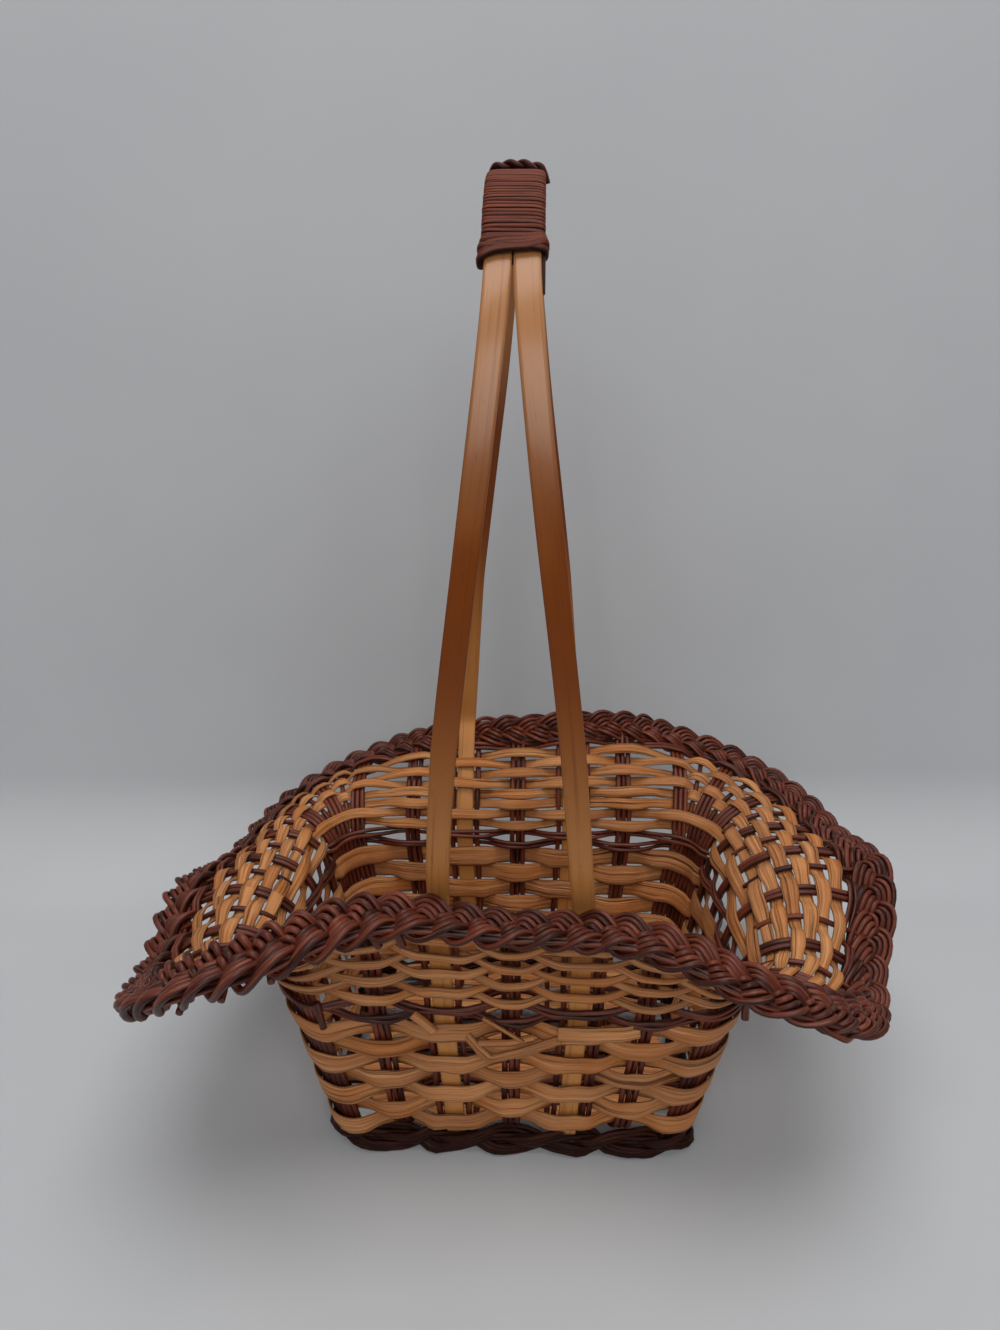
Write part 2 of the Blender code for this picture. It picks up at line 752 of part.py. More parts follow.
def strip_frames(points):
    """Width along X throughout, thickness square to the run of the strip."""
    frames = []
    for i, point in enumerate(points):
        before = points[max(i - 1, 0)]
        after = points[min(i + 1, len(points) - 1)]
        run = (after - before).normalized()
        wide = (Vector((1, 0, 0)) - run * run.x).normalized()
        frames.append((point, wide, wide.cross(run).normalized()))
    return frames


def handle_strips():
    for (front, back, place), side in zip(HANDLE_STAKES, (-1, 1)):
        frames = strip_frames(strip_path(front, back, side))
        sections = [placed(rectangle(STRIP_WIDTH, STRIP_THICKNESS), *frame) for frame in frames]
        loft(f"handle_strip_{place}", sections, False, handle_strip())


def crown_point(distance):
    """Point, run and outward normal of the crown's middle line, at a distance from its top."""
    arch = crown_curve()
    travelled = [0.0]
    for here, following in zip(arch, arch[1:]):
        travelled.append(travelled[-1] + math.dist(here, following))
    target = travelled[-1] / 2 + distance
    k = max(i for i, done in enumerate(travelled[:-1]) if done <= target)
    share = (target - travelled[k]) / (travelled[k + 1] - travelled[k])
    point = Vector((0, mix(arch[k][0], arch[k + 1][0], share), mix(arch[k][1], arch[k + 1][1], share)))
    slopes = []
    for i in (k, k + 1):
        before, after = arch[max(i - 1, 0)], arch[min(i + 1, len(arch) - 1)]
        slopes.append(Vector((0, after[0] - before[0], after[1] - before[1])).normalized())
    run = slopes[0].lerp(slopes[1], share).normalized()
    return point, run, Vector((0, -run.z, run.y))


def binding_room():
    """Height of the cane's middle over the strips, with room for its flat corners."""
    return (BINDING_CLEARANCE + CANE_THICKNESS / 2) * BINDING_CORNER_SHARE


def binding_turn():
    """One turn of the cane's middle line round both strips, as distances across and out."""
    side = STRIP_WIDTH + STRIP_SPLIT / 2
    face = STRIP_THICKNESS / 2
    corner = binding_room()
    return ((side + corner, face), (side, face + corner), (-side, face + corner), (-side - corner, face),
            (-side - corner, -face), (-side, -face - corner), (side, -face - corner), (side + corner, -face))


def binding_line():
    """Middle line of the cane: flat turns stepping along the crown."""
    loop = binding_turn()
    line = []
    count = BINDING_LOOPS * len(loop)
    for k in range(count + 1):
        distance = mix(-BINDING_SPAN / 2, BINDING_SPAN / 2, k / count)
        point, run, normal = crown_point(distance)
        across, out = loop[k % len(loop)]
        line.append((point + Vector((across, 0, 0)) + normal * out, run))
    return line


def least_self_gap(line):
    """Smallest distance between two turns' centres, less the cane's width along the crown."""
    turn = len(binding_turn())
    least = math.inf
    for i, (point, run) in enumerate(line):
        for other, run in line[i + turn // 2 + 1:i + 2 * turn]:
            least = min(least, (point - other).length)
    return least - CANE_WIDTH


def handle_binding():
    line = binding_line()
    outline = oval(CANE_WIDTH, CANE_THICKNESS, REED_SIDES)
    sections = []
    for i, (point, crown_run) in enumerate(line):
        before = line[max(i - 1, 0)][0]
        after = line[min(i + 1, len(line) - 1)][0]
        tangent = (after - before).normalized()
        wide = (crown_run - tangent * crown_run.dot(tangent)).normalized()
        sections.append(placed(outline, point, wide, tangent.cross(wide)))
    loft("handle_binding", sections, False, binding_cane())
    print(f"binding: least gap between turns {least_self_gap(line) * 1000:.2f} mm")


def crown_tie():
    """Short tie laid across the top of the binding."""
    half = STRIP_WIDTH
    room = STRIP_THICKNESS / 2 + binding_room() + (CANE_THICKNESS + TIE_THICKNESS) / 2 + BINDING_CLEARANCE
    outline = oval(TIE_WIDTH, TIE_THICKNESS, ROUND_SIDES)
    sections = []
    for share in (-1, -0.5, 0, 0.5, 1):
        point, run, normal = crown_point(0)
        place = point + Vector((half * share, 0, 0)) + normal * room
        sections.append(placed(outline, place, run, normal))
    loft("crown_tie", sections, False, binding_cane())


# Assembly


def stand_on_origin():
    """Move everything so that the origin is on the floor under the middle of the whole basket."""
    corners = [vertex.co for made in bpy.data.objects for vertex in made.data.vertices]
    middle = [(min(c[axis] for c in corners) + max(c[axis] for c in corners)) / 2 for axis in (0, 1)]
    shift = Matrix.Translation((-middle[0], -middle[1], 0))
    for made in bpy.data.objects:
        made.data.transform(shift)
    print(f"moved by {-middle[0] * 1000:.2f}, {-middle[1] * 1000:.2f} mm")


def main():
    for old in list(bpy.data.objects):
        bpy.data.objects.remove(old)
    foot_ring()
    crosswise_stakes()
    lengthwise_stakes()
    corner_stakes()
    base_splints()
    body_rows()
    wales()
    brim_rows()
    border_ring()
    handle_strips()
    handle_binding()
    crown_tie()
    stand_on_origin()


main()
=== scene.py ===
"""Looks of the woven basket: single reeds, fibrous splints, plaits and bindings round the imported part.

Metres, +Z up, front facing -Y. Every woven piece is placed on the same surface as the part's solids:
a turn (share of one trip round, anticlockwise from the middle of the front) and a level (0 on the floor,
1 at the waist, 2 at the border) give a point, and a lift moves it outward off that surface.
"""

import math
from functools import cache

import bpy
import numpy as np
from mathutils import Matrix, Vector


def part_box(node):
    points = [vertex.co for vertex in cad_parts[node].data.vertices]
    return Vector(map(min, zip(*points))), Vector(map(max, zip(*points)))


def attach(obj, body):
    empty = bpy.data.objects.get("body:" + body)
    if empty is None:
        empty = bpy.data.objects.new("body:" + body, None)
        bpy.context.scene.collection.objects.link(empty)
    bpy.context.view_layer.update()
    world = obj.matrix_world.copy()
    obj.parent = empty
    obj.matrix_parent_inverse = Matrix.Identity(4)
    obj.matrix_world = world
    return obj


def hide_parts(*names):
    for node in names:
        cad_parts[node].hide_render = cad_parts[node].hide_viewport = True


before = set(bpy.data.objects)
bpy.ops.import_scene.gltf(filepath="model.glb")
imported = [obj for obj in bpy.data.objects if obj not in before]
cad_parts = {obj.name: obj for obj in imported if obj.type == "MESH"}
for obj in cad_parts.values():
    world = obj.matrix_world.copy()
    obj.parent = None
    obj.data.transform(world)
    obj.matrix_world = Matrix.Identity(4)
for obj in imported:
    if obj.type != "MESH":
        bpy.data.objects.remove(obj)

bl_info = {
    "name": "Woven basket",
    "version": (1, 0, 0),
    "blender": (4, 5, 0),
    "location": "3D View > Sidebar > Basket",
    "description": "Builds the basket's reeds, splints, plaits and bindings, and the studio round them",
    "category": "Object",
}

MM = 0.001
ALONG_X = (1.0, 0.0, 0.0)
ALONG_Y = (0.0, 1.0, 0.0)
ALONG_Z = (0.0, 0.0, 1.0)
FOOT_LOW, FOOT_HIGH = (np.array(corner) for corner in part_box("foot_ring"))
ORIGIN = (FOOT_LOW + FOOT_HIGH) / 2 * (1, 1, 0)

# The surface, with the part's own sizes
WAIST_WIDTH = 0.185
WAIST_DEPTH = 0.122
WAIST_CORNER = 0.020
WAIST_HEIGHT = 0.086
BASE_WIDTH = 0.150
BASE_DEPTH = 0.103
BASE_CORNER = 0.012
BRIM_LENGTH = 0.058
BRIM_CORNER_GROWTH = 0.032
BRIM_LENGTH_SHARES = (0.97, 0.90, 0.88, 1.05, 1.30, 1.12, 1.03, 1.02,
                      0.96, 0.93, 0.90, 0.94, 1.10, 1.18, 1.03, 1.04)
EDGE_LEAN_DEGREES = (23, 24, 63, 124, 96, 102, 84, 50,
                     47, 67, 104, 130, 112, 124, 54, 22)
BORDER_LEAN_DEGREES = (95, 98, 112, 126, 96, 102, 84, 50,
                       47, 67, 104, 130, 112, 126, 120, 101)
BORDER_SIZE_SHARES = (0.86, 0.95, 1.00, 1.05, 1.00, 0.95, 0.90, 0.85,
                      0.85, 0.82, 0.80, 0.90, 1.10, 1.20, 1.30, 1.05)
BEND_SHARE = 0.7
LEAST_BEND = 1e-3
FRONT_STRAIGHT = WAIST_WIDTH / 2 - WAIST_CORNER
SIDE_STRAIGHT = WAIST_DEPTH / 2 - WAIST_CORNER
CORNER_WALK = math.pi / 2 * (WAIST_CORNER + BRIM_CORNER_GROWTH)
QUARTER_WALK = FRONT_STRAIGHT + CORNER_WALK + SIDE_STRAIGHT
FINE_STEPS = 2880
SMALL_TURN = 1e-4

# Rows and wales
BODY_ROWS = 7
ROW_PITCH = 0.0090
LOWEST_ROW = 0.0220
LOWER_WALE = 0.0827
UPPER_WALE_SHARE = 0.04
BRIM_ROWS = 8
FIRST_BRIM_ROW_SHARE = 0.150
BRIM_ROW_STEP_SHARE = 0.107
TOP_WALE_SHARE = 0.99
GATHERED_ROWS = 3
BORDER_WIDTH = 0.019
BORDER_THICKNESS = 0.0095

# Stakes
OUTER_STAKE_X = 0.053
HANDLE_STAKE_X = 0.0266
CORNER_SPACING = 0.0072
SIDE_END_STAKES = 4
HANDLE_REED_OFFSET = 0.0062
BASE_PLANE = 0.0143
BASE_BEND = 0.0058
FOOT_HEIGHT = 0.0122
FRONT_TO_BACK = ((28, 17), (0, 15), (2, 13))
HANDLE_STAKES = ((29, 16), (1, 14))
END_TO_END = ((6, 24), (7, 23), (8, 22), (9, 21))
BY_STAKES = (tuple(range(3, 12)), tuple(range(18, 27)))
CORNERS = ((3, 4, 5), (10, 11, 12), (18, 19, 20), (25, 26, 27))
BASE_SPLINT_WIDTH = 0.0105
BASE_SPLINT_REACHES = (0.062, 0.069, 0.069, 0.069, 0.062)

# Handle
STRIP_WIDTH = 0.0082
STRIP_THICKNESS = 0.0025
HANDLE_REACH = 0.089
HANDLE_SPRING = 0.215
HANDLE_TOP = 0.3835
HANDLE_ROUNDNESS = 2.3
RISE_SHARES = (0.25, 0.5, 0.75)
DRAW_POWER = 1.25
STRIP_SPLIT = 0.0004
STRIP_STEP_LEVEL = 1.73
STEP_IN_SHARE = 0.70
DRAW_BULGE_SHARE = 0.75
STRIP_BORDER_GAP = 0.0009
BINDING_SPAN = 0.120

# Photograph's view
CAMERA_PLACE = (0.00791, -0.3653, 0.3710)
CAMERA_PITCH_DEGREES = 24.0
CAMERA_YAW_DEGREES = 2.2
CAMERA_ROLL_DEGREES = -0.217
FOCAL_PIXELS = 1000
PHOTO_HEIGHT = 1330
SENSOR_WIDTH = 36


# The surface that everything is woven on


def mix(first, second, share):
    """Straight blend: first at share 0, second at share 1."""
    return first + (second - first) * share


def smooth_step(share):
    """Cubic from 0 to 1 that starts and ends level: three squares less two cubes."""
    share = np.clip(share, 0, 1)
    return share * share * (3 - 2 * share)


def signed_power(values, power):
    """Each value's size raised to a power, with the value's own sign."""
    return np.sign(values) * np.abs(values) ** power


def plan(turn, rise):
    """Points and outward directions of the outline at a share of the wall's rise.

    One quarter is a straight front, a quarter-circle corner and a straight side; the others mirror it.
    """
    half_width = mix(BASE_WIDTH, WAIST_WIDTH, rise) / 2
    half_depth = mix(BASE_DEPTH, WAIST_DEPTH, rise) / 2
    corner = mix(BASE_CORNER, WAIST_CORNER, rise)
    place = np.mod(turn, 1.0) * 4
    quarter = np.floor(place)
    within = np.where(quarter % 2 == 1, 1 - (place - quarter), place - quarter)
    walk = within * QUARTER_WALK
    angle = np.clip((walk - FRONT_STRAIGHT) / CORNER_WALK, 0, 1) * math.pi / 2
    on_front = np.minimum(walk / FRONT_STRAIGHT, 1)
    on_side = np.clip((walk - FRONT_STRAIGHT - CORNER_WALK) / SIDE_STRAIGHT, 0, 1)
    side = np.where(quarter < 2, 1, -1)
    face = np.where((quarter == 0) | (quarter == 3), 1, -1)
    out_x, out_y = np.sin(angle) * side, -np.cos(angle) * face
    x = (half_width - corner) * on_front * side + corner * out_x
    y = -(half_depth - corner) * (1 - on_side) * face + corner * out_y
    return np.stack([x, y], -1), np.stack([out_x, out_y], -1)


def around(values, turn):
    """Catmull-Rom curve through values at even steps of one turn."""
    values = np.asarray(values, float)
    count = len(values)
    place = np.mod(turn, 1.0) * count
    step = np.floor(place).astype(int)
    t = place - step
    before, here, after, beyond = (values[(step + k) % count] for k in (-1, 0, 1, 2))
    bend = 2 * before - 5 * here + 4 * after - beyond
    twist = 3 * here - before - 3 * after + beyond
    return here + ((after - before) * t + bend * t * t + twist * t ** 3) / 2


def wall_lean(turn):
    """Angle of the straight wall from upright."""
    foot, outward = plan(turn, 0)
    waist, outward = plan(turn, 1)
    return np.arctan2(((waist - foot) * outward).sum(-1), WAIST_HEIGHT)


def brim_length(turn):
    """Metres from the waist to the border's middle, along the brim."""
    return BRIM_LENGTH * around(BRIM_LENGTH_SHARES, turn)


def border_half(turn):
    """Half the border's height along the brim, and its half thickness square to the brim."""
    rolled = np.radians(around(BORDER_LEAN_DEGREES, turn) - around(EDGE_LEAN_DEGREES, turn))
    half = around(BORDER_SIZE_SHARES, turn) / 2
    along = np.hypot(BORDER_WIDTH * np.cos(rolled), BORDER_THICKNESS * np.sin(rolled)) * half
    square = np.hypot(BORDER_WIDTH * np.sin(rolled), BORDER_THICKNESS * np.cos(rolled)) * half
    return along, square


def brim_room(turn):
    """Share of the brim that the border leaves free."""
    return 1 - border_half(turn)[0] / brim_length(turn)


def wall_length(turn):
    """Metres from the floor to the waist."""
    return np.full_like(turn, WAIST_HEIGHT)


def surface(turn, level, lift=0.0):
    """World points: a straight wall up to the waist, then an arc of steady bend that runs out straight.

    Along the arc the lean grows evenly, so the point moves out by the integral of its sine and up by the
    integral of its cosine, and lift is square to the lean.
    """
    turn, level, lift = np.broadcast_arrays(np.asarray(turn, float), level, lift)
    point, outward = plan(turn, np.minimum(level, 1))
    start = wall_lean(turn)
    share = np.maximum(level - 1, 0)
    length = brim_length(turn)
    bend = (np.radians(around(EDGE_LEAN_DEGREES, turn)) - start) / BEND_SHARE
    bend = np.where(np.abs(bend) < LEAST_BEND, LEAST_BEND, bend)
    curved = np.minimum(share, BEND_SHARE)
    straight = share - curved
    lean = start + bend * curved
    out = ((np.cos(start) - np.cos(lean)) / bend + straight * np.sin(lean)) * length + lift * np.cos(lean)
    up = ((np.sin(lean) - np.sin(start)) / bend + straight * np.cos(lean)) * length - lift * np.sin(lean)
    ground = point + outward * out[..., None]
    height = WAIST_HEIGHT * np.minimum(level, 1) + up
    return np.concatenate([ground, height[..., None]], -1) + ORIGIN


def border_point(turn, across, out):
    """World points of the border: across its band from the brim's edge, and out from its face."""
    outward = np.append(plan(turn, 1)[1], np.zeros((len(turn), 1)), axis=1)
    lean = np.radians(around(BORDER_LEAN_DEGREES, turn))[:, None]
    up = np.array(ALONG_Z)
    wide = outward * np.sin(lean) + up * np.cos(lean)
    face = outward * np.cos(lean) - up * np.sin(lean)
    size = around(BORDER_SIZE_SHARES, turn)
    return surface(turn, 2) + wide * (across * size)[:, None] + face * (out * size)[:, None]


def reach(turn, level):
    """Metres walked per turn at a place on the surface."""
    ahead = surface(turn + SMALL_TURN, level) - surface(turn - SMALL_TURN, level)
    return np.linalg.norm(ahead, axis=-1) / (2 * SMALL_TURN)


def walk_round(level):
    """Turns at fine even steps, and the distance walked to each along one level."""
    turn = np.linspace(0, 1, FINE_STEPS + 1)
    return turn, walked(surface(turn, level))


def walked(points):
    """Distance along a line to each of its points."""
    steps = np.linalg.norm(np.diff(points, axis=0), axis=1)
    return np.concatenate([[0.0], np.cumsum(steps)])


def wobble(seed, place, waves, size):
    """Smooth closed wander of place (0 to 1): a sum of whole waves with shuffled phases, size at most."""
    draw = np.random.default_rng(seed)
    total = np.zeros_like(place)
    for wave in waves:
        total += np.sin(math.tau * (wave * place + draw.random())) * draw.uniform(0.5, 1.0)
    return total * size / len(waves)


# Where the stakes stand: turns at the base, at the waist and at the border


def stake_keys():
    """Thirty stakes, anticlockwise from the middle of the front: walls, corners and ends, mirrored."""
    to_turn = 1 / QUARTER_WALK / 4
    middle = (FRONT_STRAIGHT + CORNER_WALK / 2) * to_turn
    spread = CORNER_SPACING / (math.pi / 2) * CORNER_WALK * to_turn
    front_corner = [(middle + spread / BASE_CORNER * k, middle + spread / WAIST_CORNER * k)
                    for k in (-1, 0, 1)]
    back_corner = [(0.5 - base, 0.5 - waist) for base, waist in reversed(front_corner)]
    shares = [(k + 1) / (SIDE_END_STAKES + 1) for k in range(SIDE_END_STAKES)]
    (last_base, last_waist), (next_base, next_waist) = front_corner[-1], back_corner[0]
    ends = [(mix(last_base, next_base, share), mix(last_waist, next_waist, share)) for share in shares]
    places = front_corner + ends + back_corner
    outer = OUTER_STAKE_X * to_turn
    step = (0.5 - 2 * outer) / (len(places) + 1)
    right = [(base, waist, outer + step * (k + 1)) for k, (base, waist) in enumerate(places)]
    left = [tuple(turn + 0.5 for turn in key) for key in right]
    wall = [x * to_turn for x in (-OUTER_STAKE_X, -HANDLE_STAKE_X, 0.0, HANDLE_STAKE_X, OUTER_STAKE_X)]
    front = [(turn % 1.0,) * 3 for turn in wall]
    back = [(0.5 + turn,) * 3 for turn in wall]
    return np.array(front[2:] + right + back + left + front[:2])


STAKES = stake_keys()


def stake_turn(stake, level):
    """Turn of a stake at a level, straight between its places at the base, the waist and the border."""
    base, waist, border = STAKES[stake]
    return np.where(level < 1, mix(base, waist, level), mix(waist, border, level - 1))


def by_stake_turn(stake, level):
    """Turn of a by-stake, midway between a stake and the next."""
    return (stake_turn(stake, level) + stake_turn(stake + 1, level)) / 2


# Meshes

REED_SIDES = 8
SPLINT_SIDES = 10
SPLINT_SQUARENESS = 0.45
SPLINT_THICKNESS = 1.0 * MM
UV_JUMP = 3.7
FACE_MIDDLE_SHARE = 0.25


class Bundle:
    """Swept reeds and splints gathered into one mesh, with metres along and share round the section as UV."""

    def __init__(self):
        self.points = []
        self.quads = []
        self.quad_uv = []
        self.caps = []
        self.cap_uv = []
        self.count = 0

    def sweep(self, rings, closed=False, start=0.0):
        """Joins rings of points (sections, sides, 3) into a tube that faces outward, capped unless closed."""
        middle = rings.mean(axis=1)
        arms = rings[0] - middle[0]
        facing = np.cross(arms, np.roll(arms, -1, axis=0)).sum(axis=0)
        if facing @ (middle[1] - middle[0]) < 0:
            rings = np.roll(rings[:, ::-1], 1, axis=1)
        sections, sides = rings.shape[:2]
        rows = np.arange(sections if closed else sections - 1)
        i, k = np.meshgrid(rows, np.arange(sides), indexing="ij")
        i, k = i.ravel(), k.ravel()
        ahead, beside = (i + 1) % sections, (k + 1) % sides
        corners = np.stack([i * sides + k, i * sides + beside, ahead * sides + beside, ahead * sides + k], 1)
        line = np.concatenate([middle, middle[:1]]) if closed else middle
        along = walked(line) + start
        u = np.stack([along[i], along[i], along[i + 1], along[i + 1]], 1)
        v = np.stack([k, k + 1, k + 1, k], 1) / sides
        self.quads.append(corners + self.count)
        self.quad_uv.append(np.stack([u, v], -1).reshape(-1, 2))
        if not closed:
            last = (sections - 1) * sides
            self.caps.append((np.arange(sides)[::-1] + self.count).tolist())
            self.caps.append((np.arange(sides) + last + self.count).tolist())
            self.cap_uv.append(np.tile([along[0], FACE_MIDDLE_SHARE], (sides, 1)))
            self.cap_uv.append(np.tile([along[-1], FACE_MIDDLE_SHARE], (sides, 1)))
        self.points.append(rings.reshape(-1, 3))
        self.count += sections * sides

    def make(self, name, slot, *nodes):
        """The finished object in one of the part's finishes, standing for its CAD nodes."""
        mesh = bpy.data.meshes.new(name)
        faces = np.concatenate(self.quads).tolist() + self.caps
        mesh.from_pydata(np.concatenate(self.points).tolist(), [], faces)
        layer = mesh.uv_layers.new(name="along")
        layer.uv.foreach_set("vector", np.concatenate(self.quad_uv + self.cap_uv).ravel().astype(np.float32))
        mesh.materials.append(LOOKS[slot]())
        mesh.shade_smooth()
        made = bpy.data.objects.new(name, mesh)
        bpy.context.scene.collection.objects.link(made)
        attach(made, "root")
        if nodes:
            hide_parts(*nodes)


def outline(sides, squareness=1.0):
    """Unit section: cosine and sine raised to a power, a circle at 1 and nearly a rectangle towards 0."""
    angle = math.tau * np.arange(sides) / sides
    return signed_power(np.cos(angle), squareness), signed_power(np.sin(angle), squareness)


def unit(vectors):
    """The vectors, each one metre long."""
    return vectors / np.linalg.norm(vectors, axis=-1, keepdims=True)


def tube(path, wide, width, thickness, closed=False, sides=REED_SIDES, squareness=1.0):
    """Rings of a section along a path: the wide direction is kept square to the run, the deep one to both."""
    if closed:
        run = unit(np.roll(path, -1, axis=0) - np.roll(path, 1, axis=0))
    else:
        run = unit(np.gradient(path, axis=0))
    wide = np.broadcast_to(wide, path.shape)
    wide = unit(wide - run * (wide * run).sum(-1, keepdims=True))
    deep = np.cross(run, wide)
    across, out = outline(sides, squareness)
    width, thickness = (np.broadcast_to(size, len(path))[:, None, None] / 2 for size in (width, thickness))
    return path[:, None] + wide[:, None] * across[:, None] * width + deep[:, None] * out[:, None] * thickness


def side_by_side(index, count):
    """Place of one of several reeds side by side, in reeds from their middle."""
    return index - (count - 1) / 2


def add_reed(bundle, line, wide, width, seed, closed=False):
    """A round reed along a line; its seed picks its own stretch of the grain."""
    rings = tube(line, wide, width, width, closed=closed, sides=REED_SIDES)
    bundle.sweep(rings, closed=closed, start=seed * UV_JUMP)


def add_splint(bundle, line, wide, width, thickness, seed):
    """A flat splint along a line, wide in one direction."""
    rings = tube(line, wide, width, thickness, sides=SPLINT_SIDES, squareness=SPLINT_SQUARENESS)
    bundle.sweep(rings, start=seed * UV_JUMP)


def smooth_line(points, step, passes):
    """The line at even steps, each inner point then drawn towards the middle of its neighbours."""
    distance = walked(points)
    count = max(int(distance[-1] / step), 3)
    places = np.linspace(0, distance[-1], count + 1)
    line = np.stack([np.interp(places, distance, points[:, axis]) for axis in range(3)], -1)
    for _ in range(passes):
        line[1:-1] = (line[:-2] + 2 * line[1:-1] + line[2:]) / 4
    return line


# Rows and wales

BODY_PAD = 2.4 * MM
BRIM_PAD = 1.5 * MM
BY_STAKE_PAD = 1.0 * MM
ROW_STEP = 1.1 * MM
SEAM_TURN = 0.77

BODY_ROW_WIDTH = 10.6 * MM
BODY_LIFT = 2.5 * MM
BRIM_LIFT = 2.9 * MM
SIDE_LIFT = 1.9 * MM
SIDE_TURN = 0.25
SIDE_REACH = 0.165
SIDE_FADE = 0.05
NARROW_SHARE = 0.87
WIDTH_WANDER_SHARE = 0.08
LIFT_WANDER_SHARE = 0.25
LEVEL_WANDER = 0.6 * MM
RAGGED_EDGE = 0.15 * MM
TILT = 0.18
SPLINT_BOW = 0.3 * MM
BODY_SEED = 10
BRIM_SEED = 30

# Waves round one row, for each measure that wanders
WIDTH_WAVES = (9, 17, 31)
RAGGED_WAVES = (211, 263, 317)
LEVEL_WAVES = (5, 11, 23, 29)
TILT_WAVES = (7, 13, 19, 41)
LIFT_WAVES = (5, 11, 17, 37)
WALE_LEVEL_WAVES = (3, 7, 13, 23)
WALE_LIFT_WAVES = (9, 19, 33)

WALE_REED = 2.1 * MM
WALE_REEDS = 2
WALE_LIFT = 2.6 * MM
WALE_WANDER = 0.8 * MM
WALE_SEEDS = (200, 210, 220)
WALE_LIFT_SEED = 50

DIP_TURN = 0.865
DIP_REACH = 0.085
TOP_DIP = 2.5 * MM
BOTTOM_DIP = 7.0 * MM


def passes(level, gathered, pad):
    """Walked distances where each pass of a weaver begins and ends.

    A gathered row passes the three stakes of a corner as one; the others take in the by-stakes too.
    """
    turn, distance = walk_round(level)
    later = {stake for corner in CORNERS for stake in corner[1:]}
    joined = {stake for side in BY_STAKES for stake in side}
    spans = []
    for stake in range(len(STAKES)):
        place = float(np.interp(stake_turn(stake, level), turn, distance))
        room = pad
        if any(stake in pair for pair in HANDLE_STAKES):
            room = HANDLE_REED_OFFSET
        if gathered and stake in later:
            spans[-1][1] = place + room
        else:
            spans.append([place - room, place + room])
        if stake in joined and level > 1 and not gathered:
            place = float(np.interp(by_stake_turn(stake, level), turn, distance))
            spans.append([place - BY_STAKE_PAD, place + BY_STAKE_PAD])
    return spans, turn, distance


def blend_keys(places, values, at):
    """Value at each place, easing from key to key like a bent splint: half a cosine wave per gap."""
    index = np.clip(np.searchsorted(places, at, side="right") - 1, 0, len(places) - 2)
    share = (at - places[index]) / (places[index + 1] - places[index])
    share = np.clip(share, 0, 1)
    return mix(values[index], values[index + 1], (1 - np.cos(math.pi * share)) / 2)


def weave(level, gathered, pad, first_side, step):
    """Turns at even steps round one level and the side passed on at each, from -1 (inside) to 1 (outside)."""
    spans, turn, distance = passes(level, gathered, pad)
    whole = distance[-1]
    sides = np.repeat([first_side * (-1) ** i for i in range(len(spans))], 2).astype(float)
    places = np.array(spans).ravel()
    places = np.concatenate([places[-2:] - whole, places, places[:2] + whole])
    sides = np.concatenate([sides[-2:], sides, sides[:2]])
    at = np.mod(np.arange(int(whole / step)) / int(whole / step) + SEAM_TURN, 1.0) * whole
    return np.interp(at, distance, turn), blend_keys(places, sides, at), at / whole


def splint_row(bundle, seed, level, gathered, first_side, width, length_of, lift_of, drift):
    """A flat fibrous splint: wide where it bulges over a stake, narrow where it slips past its neighbours."""
    turn, side, place = weave(level, gathered, BODY_PAD if level < 1 else BRIM_PAD, first_side, ROW_STEP)
    length = length_of(turn)
    bulge = smooth_step(np.abs(side))
    wide = width(turn) * mix(NARROW_SHARE, 1.0, bulge)
    wide = wide * (1 + wobble(seed, place, WIDTH_WAVES, WIDTH_WANDER_SHARE))
    ragged = wobble(seed + 1, place, RAGGED_WAVES, RAGGED_EDGE)
    drift = drift(turn) + wobble(seed + 2, place, LEVEL_WAVES, LEVEL_WANDER)
    tilt = wobble(seed + 3, place, TILT_WAVES, TILT)
    lifted = lift_of(turn) * side * (1 + wobble(seed + 4, place, LIFT_WAVES, LIFT_WANDER_SHARE))
    across, deep = outline(SPLINT_SIDES, SPLINT_SQUARENESS)
    half = ((wide + ragged) / 2)[:, None]
    levels = level + (drift[:, None] + half * across) / length[:, None]
    bow = SPLINT_BOW * side[:, None] * (1 - across ** 2)
    lifts = lifted[:, None] + bow + half * across * tilt[:, None] + SPLINT_THICKNESS / 2 * deep
    bundle.sweep(surface(turn[:, None], levels, lifts), closed=True, start=seed * UV_JUMP)


def reed_wale(bundle, seed, level, gathered, first_side, length_of, reeds, width, base_drift):
    """Thin reeds worked side by side as one weaver, each wandering a little."""
    turn, side, place = weave(level, gathered, BODY_PAD, first_side, ROW_STEP)
    length = length_of(turn)
    across, deep = outline(REED_SIDES)
    for reed in range(reeds):
        offset = side_by_side(reed, reeds) * width
        drift = base_drift(turn) + offset + wobble(seed + reed, place, WALE_LEVEL_WAVES, WALE_WANDER)
        lift_seed = seed + reed + WALE_LIFT_SEED
        lifted = WALE_LIFT * side + wobble(lift_seed, place, WALE_LIFT_WAVES, WALE_WANDER)
        levels = level + (drift[:, None] + width / 2 * across) / length[:, None]
        bundle.sweep(surface(turn[:, None], levels, lifted[:, None] + width / 2 * deep), closed=True,
                     start=(seed + reed) * UV_JUMP)


def body_drift(row):
    """Every row sags towards the front left corner, the lowest one most."""
    def drift(turn):
        sag = np.exp(-((np.mod(turn - DIP_TURN + 0.5, 1.0) - 0.5) / DIP_REACH) ** 2)
        return -sag * mix(BOTTOM_DIP, TOP_DIP, row / (BODY_ROWS - 1))
    return drift


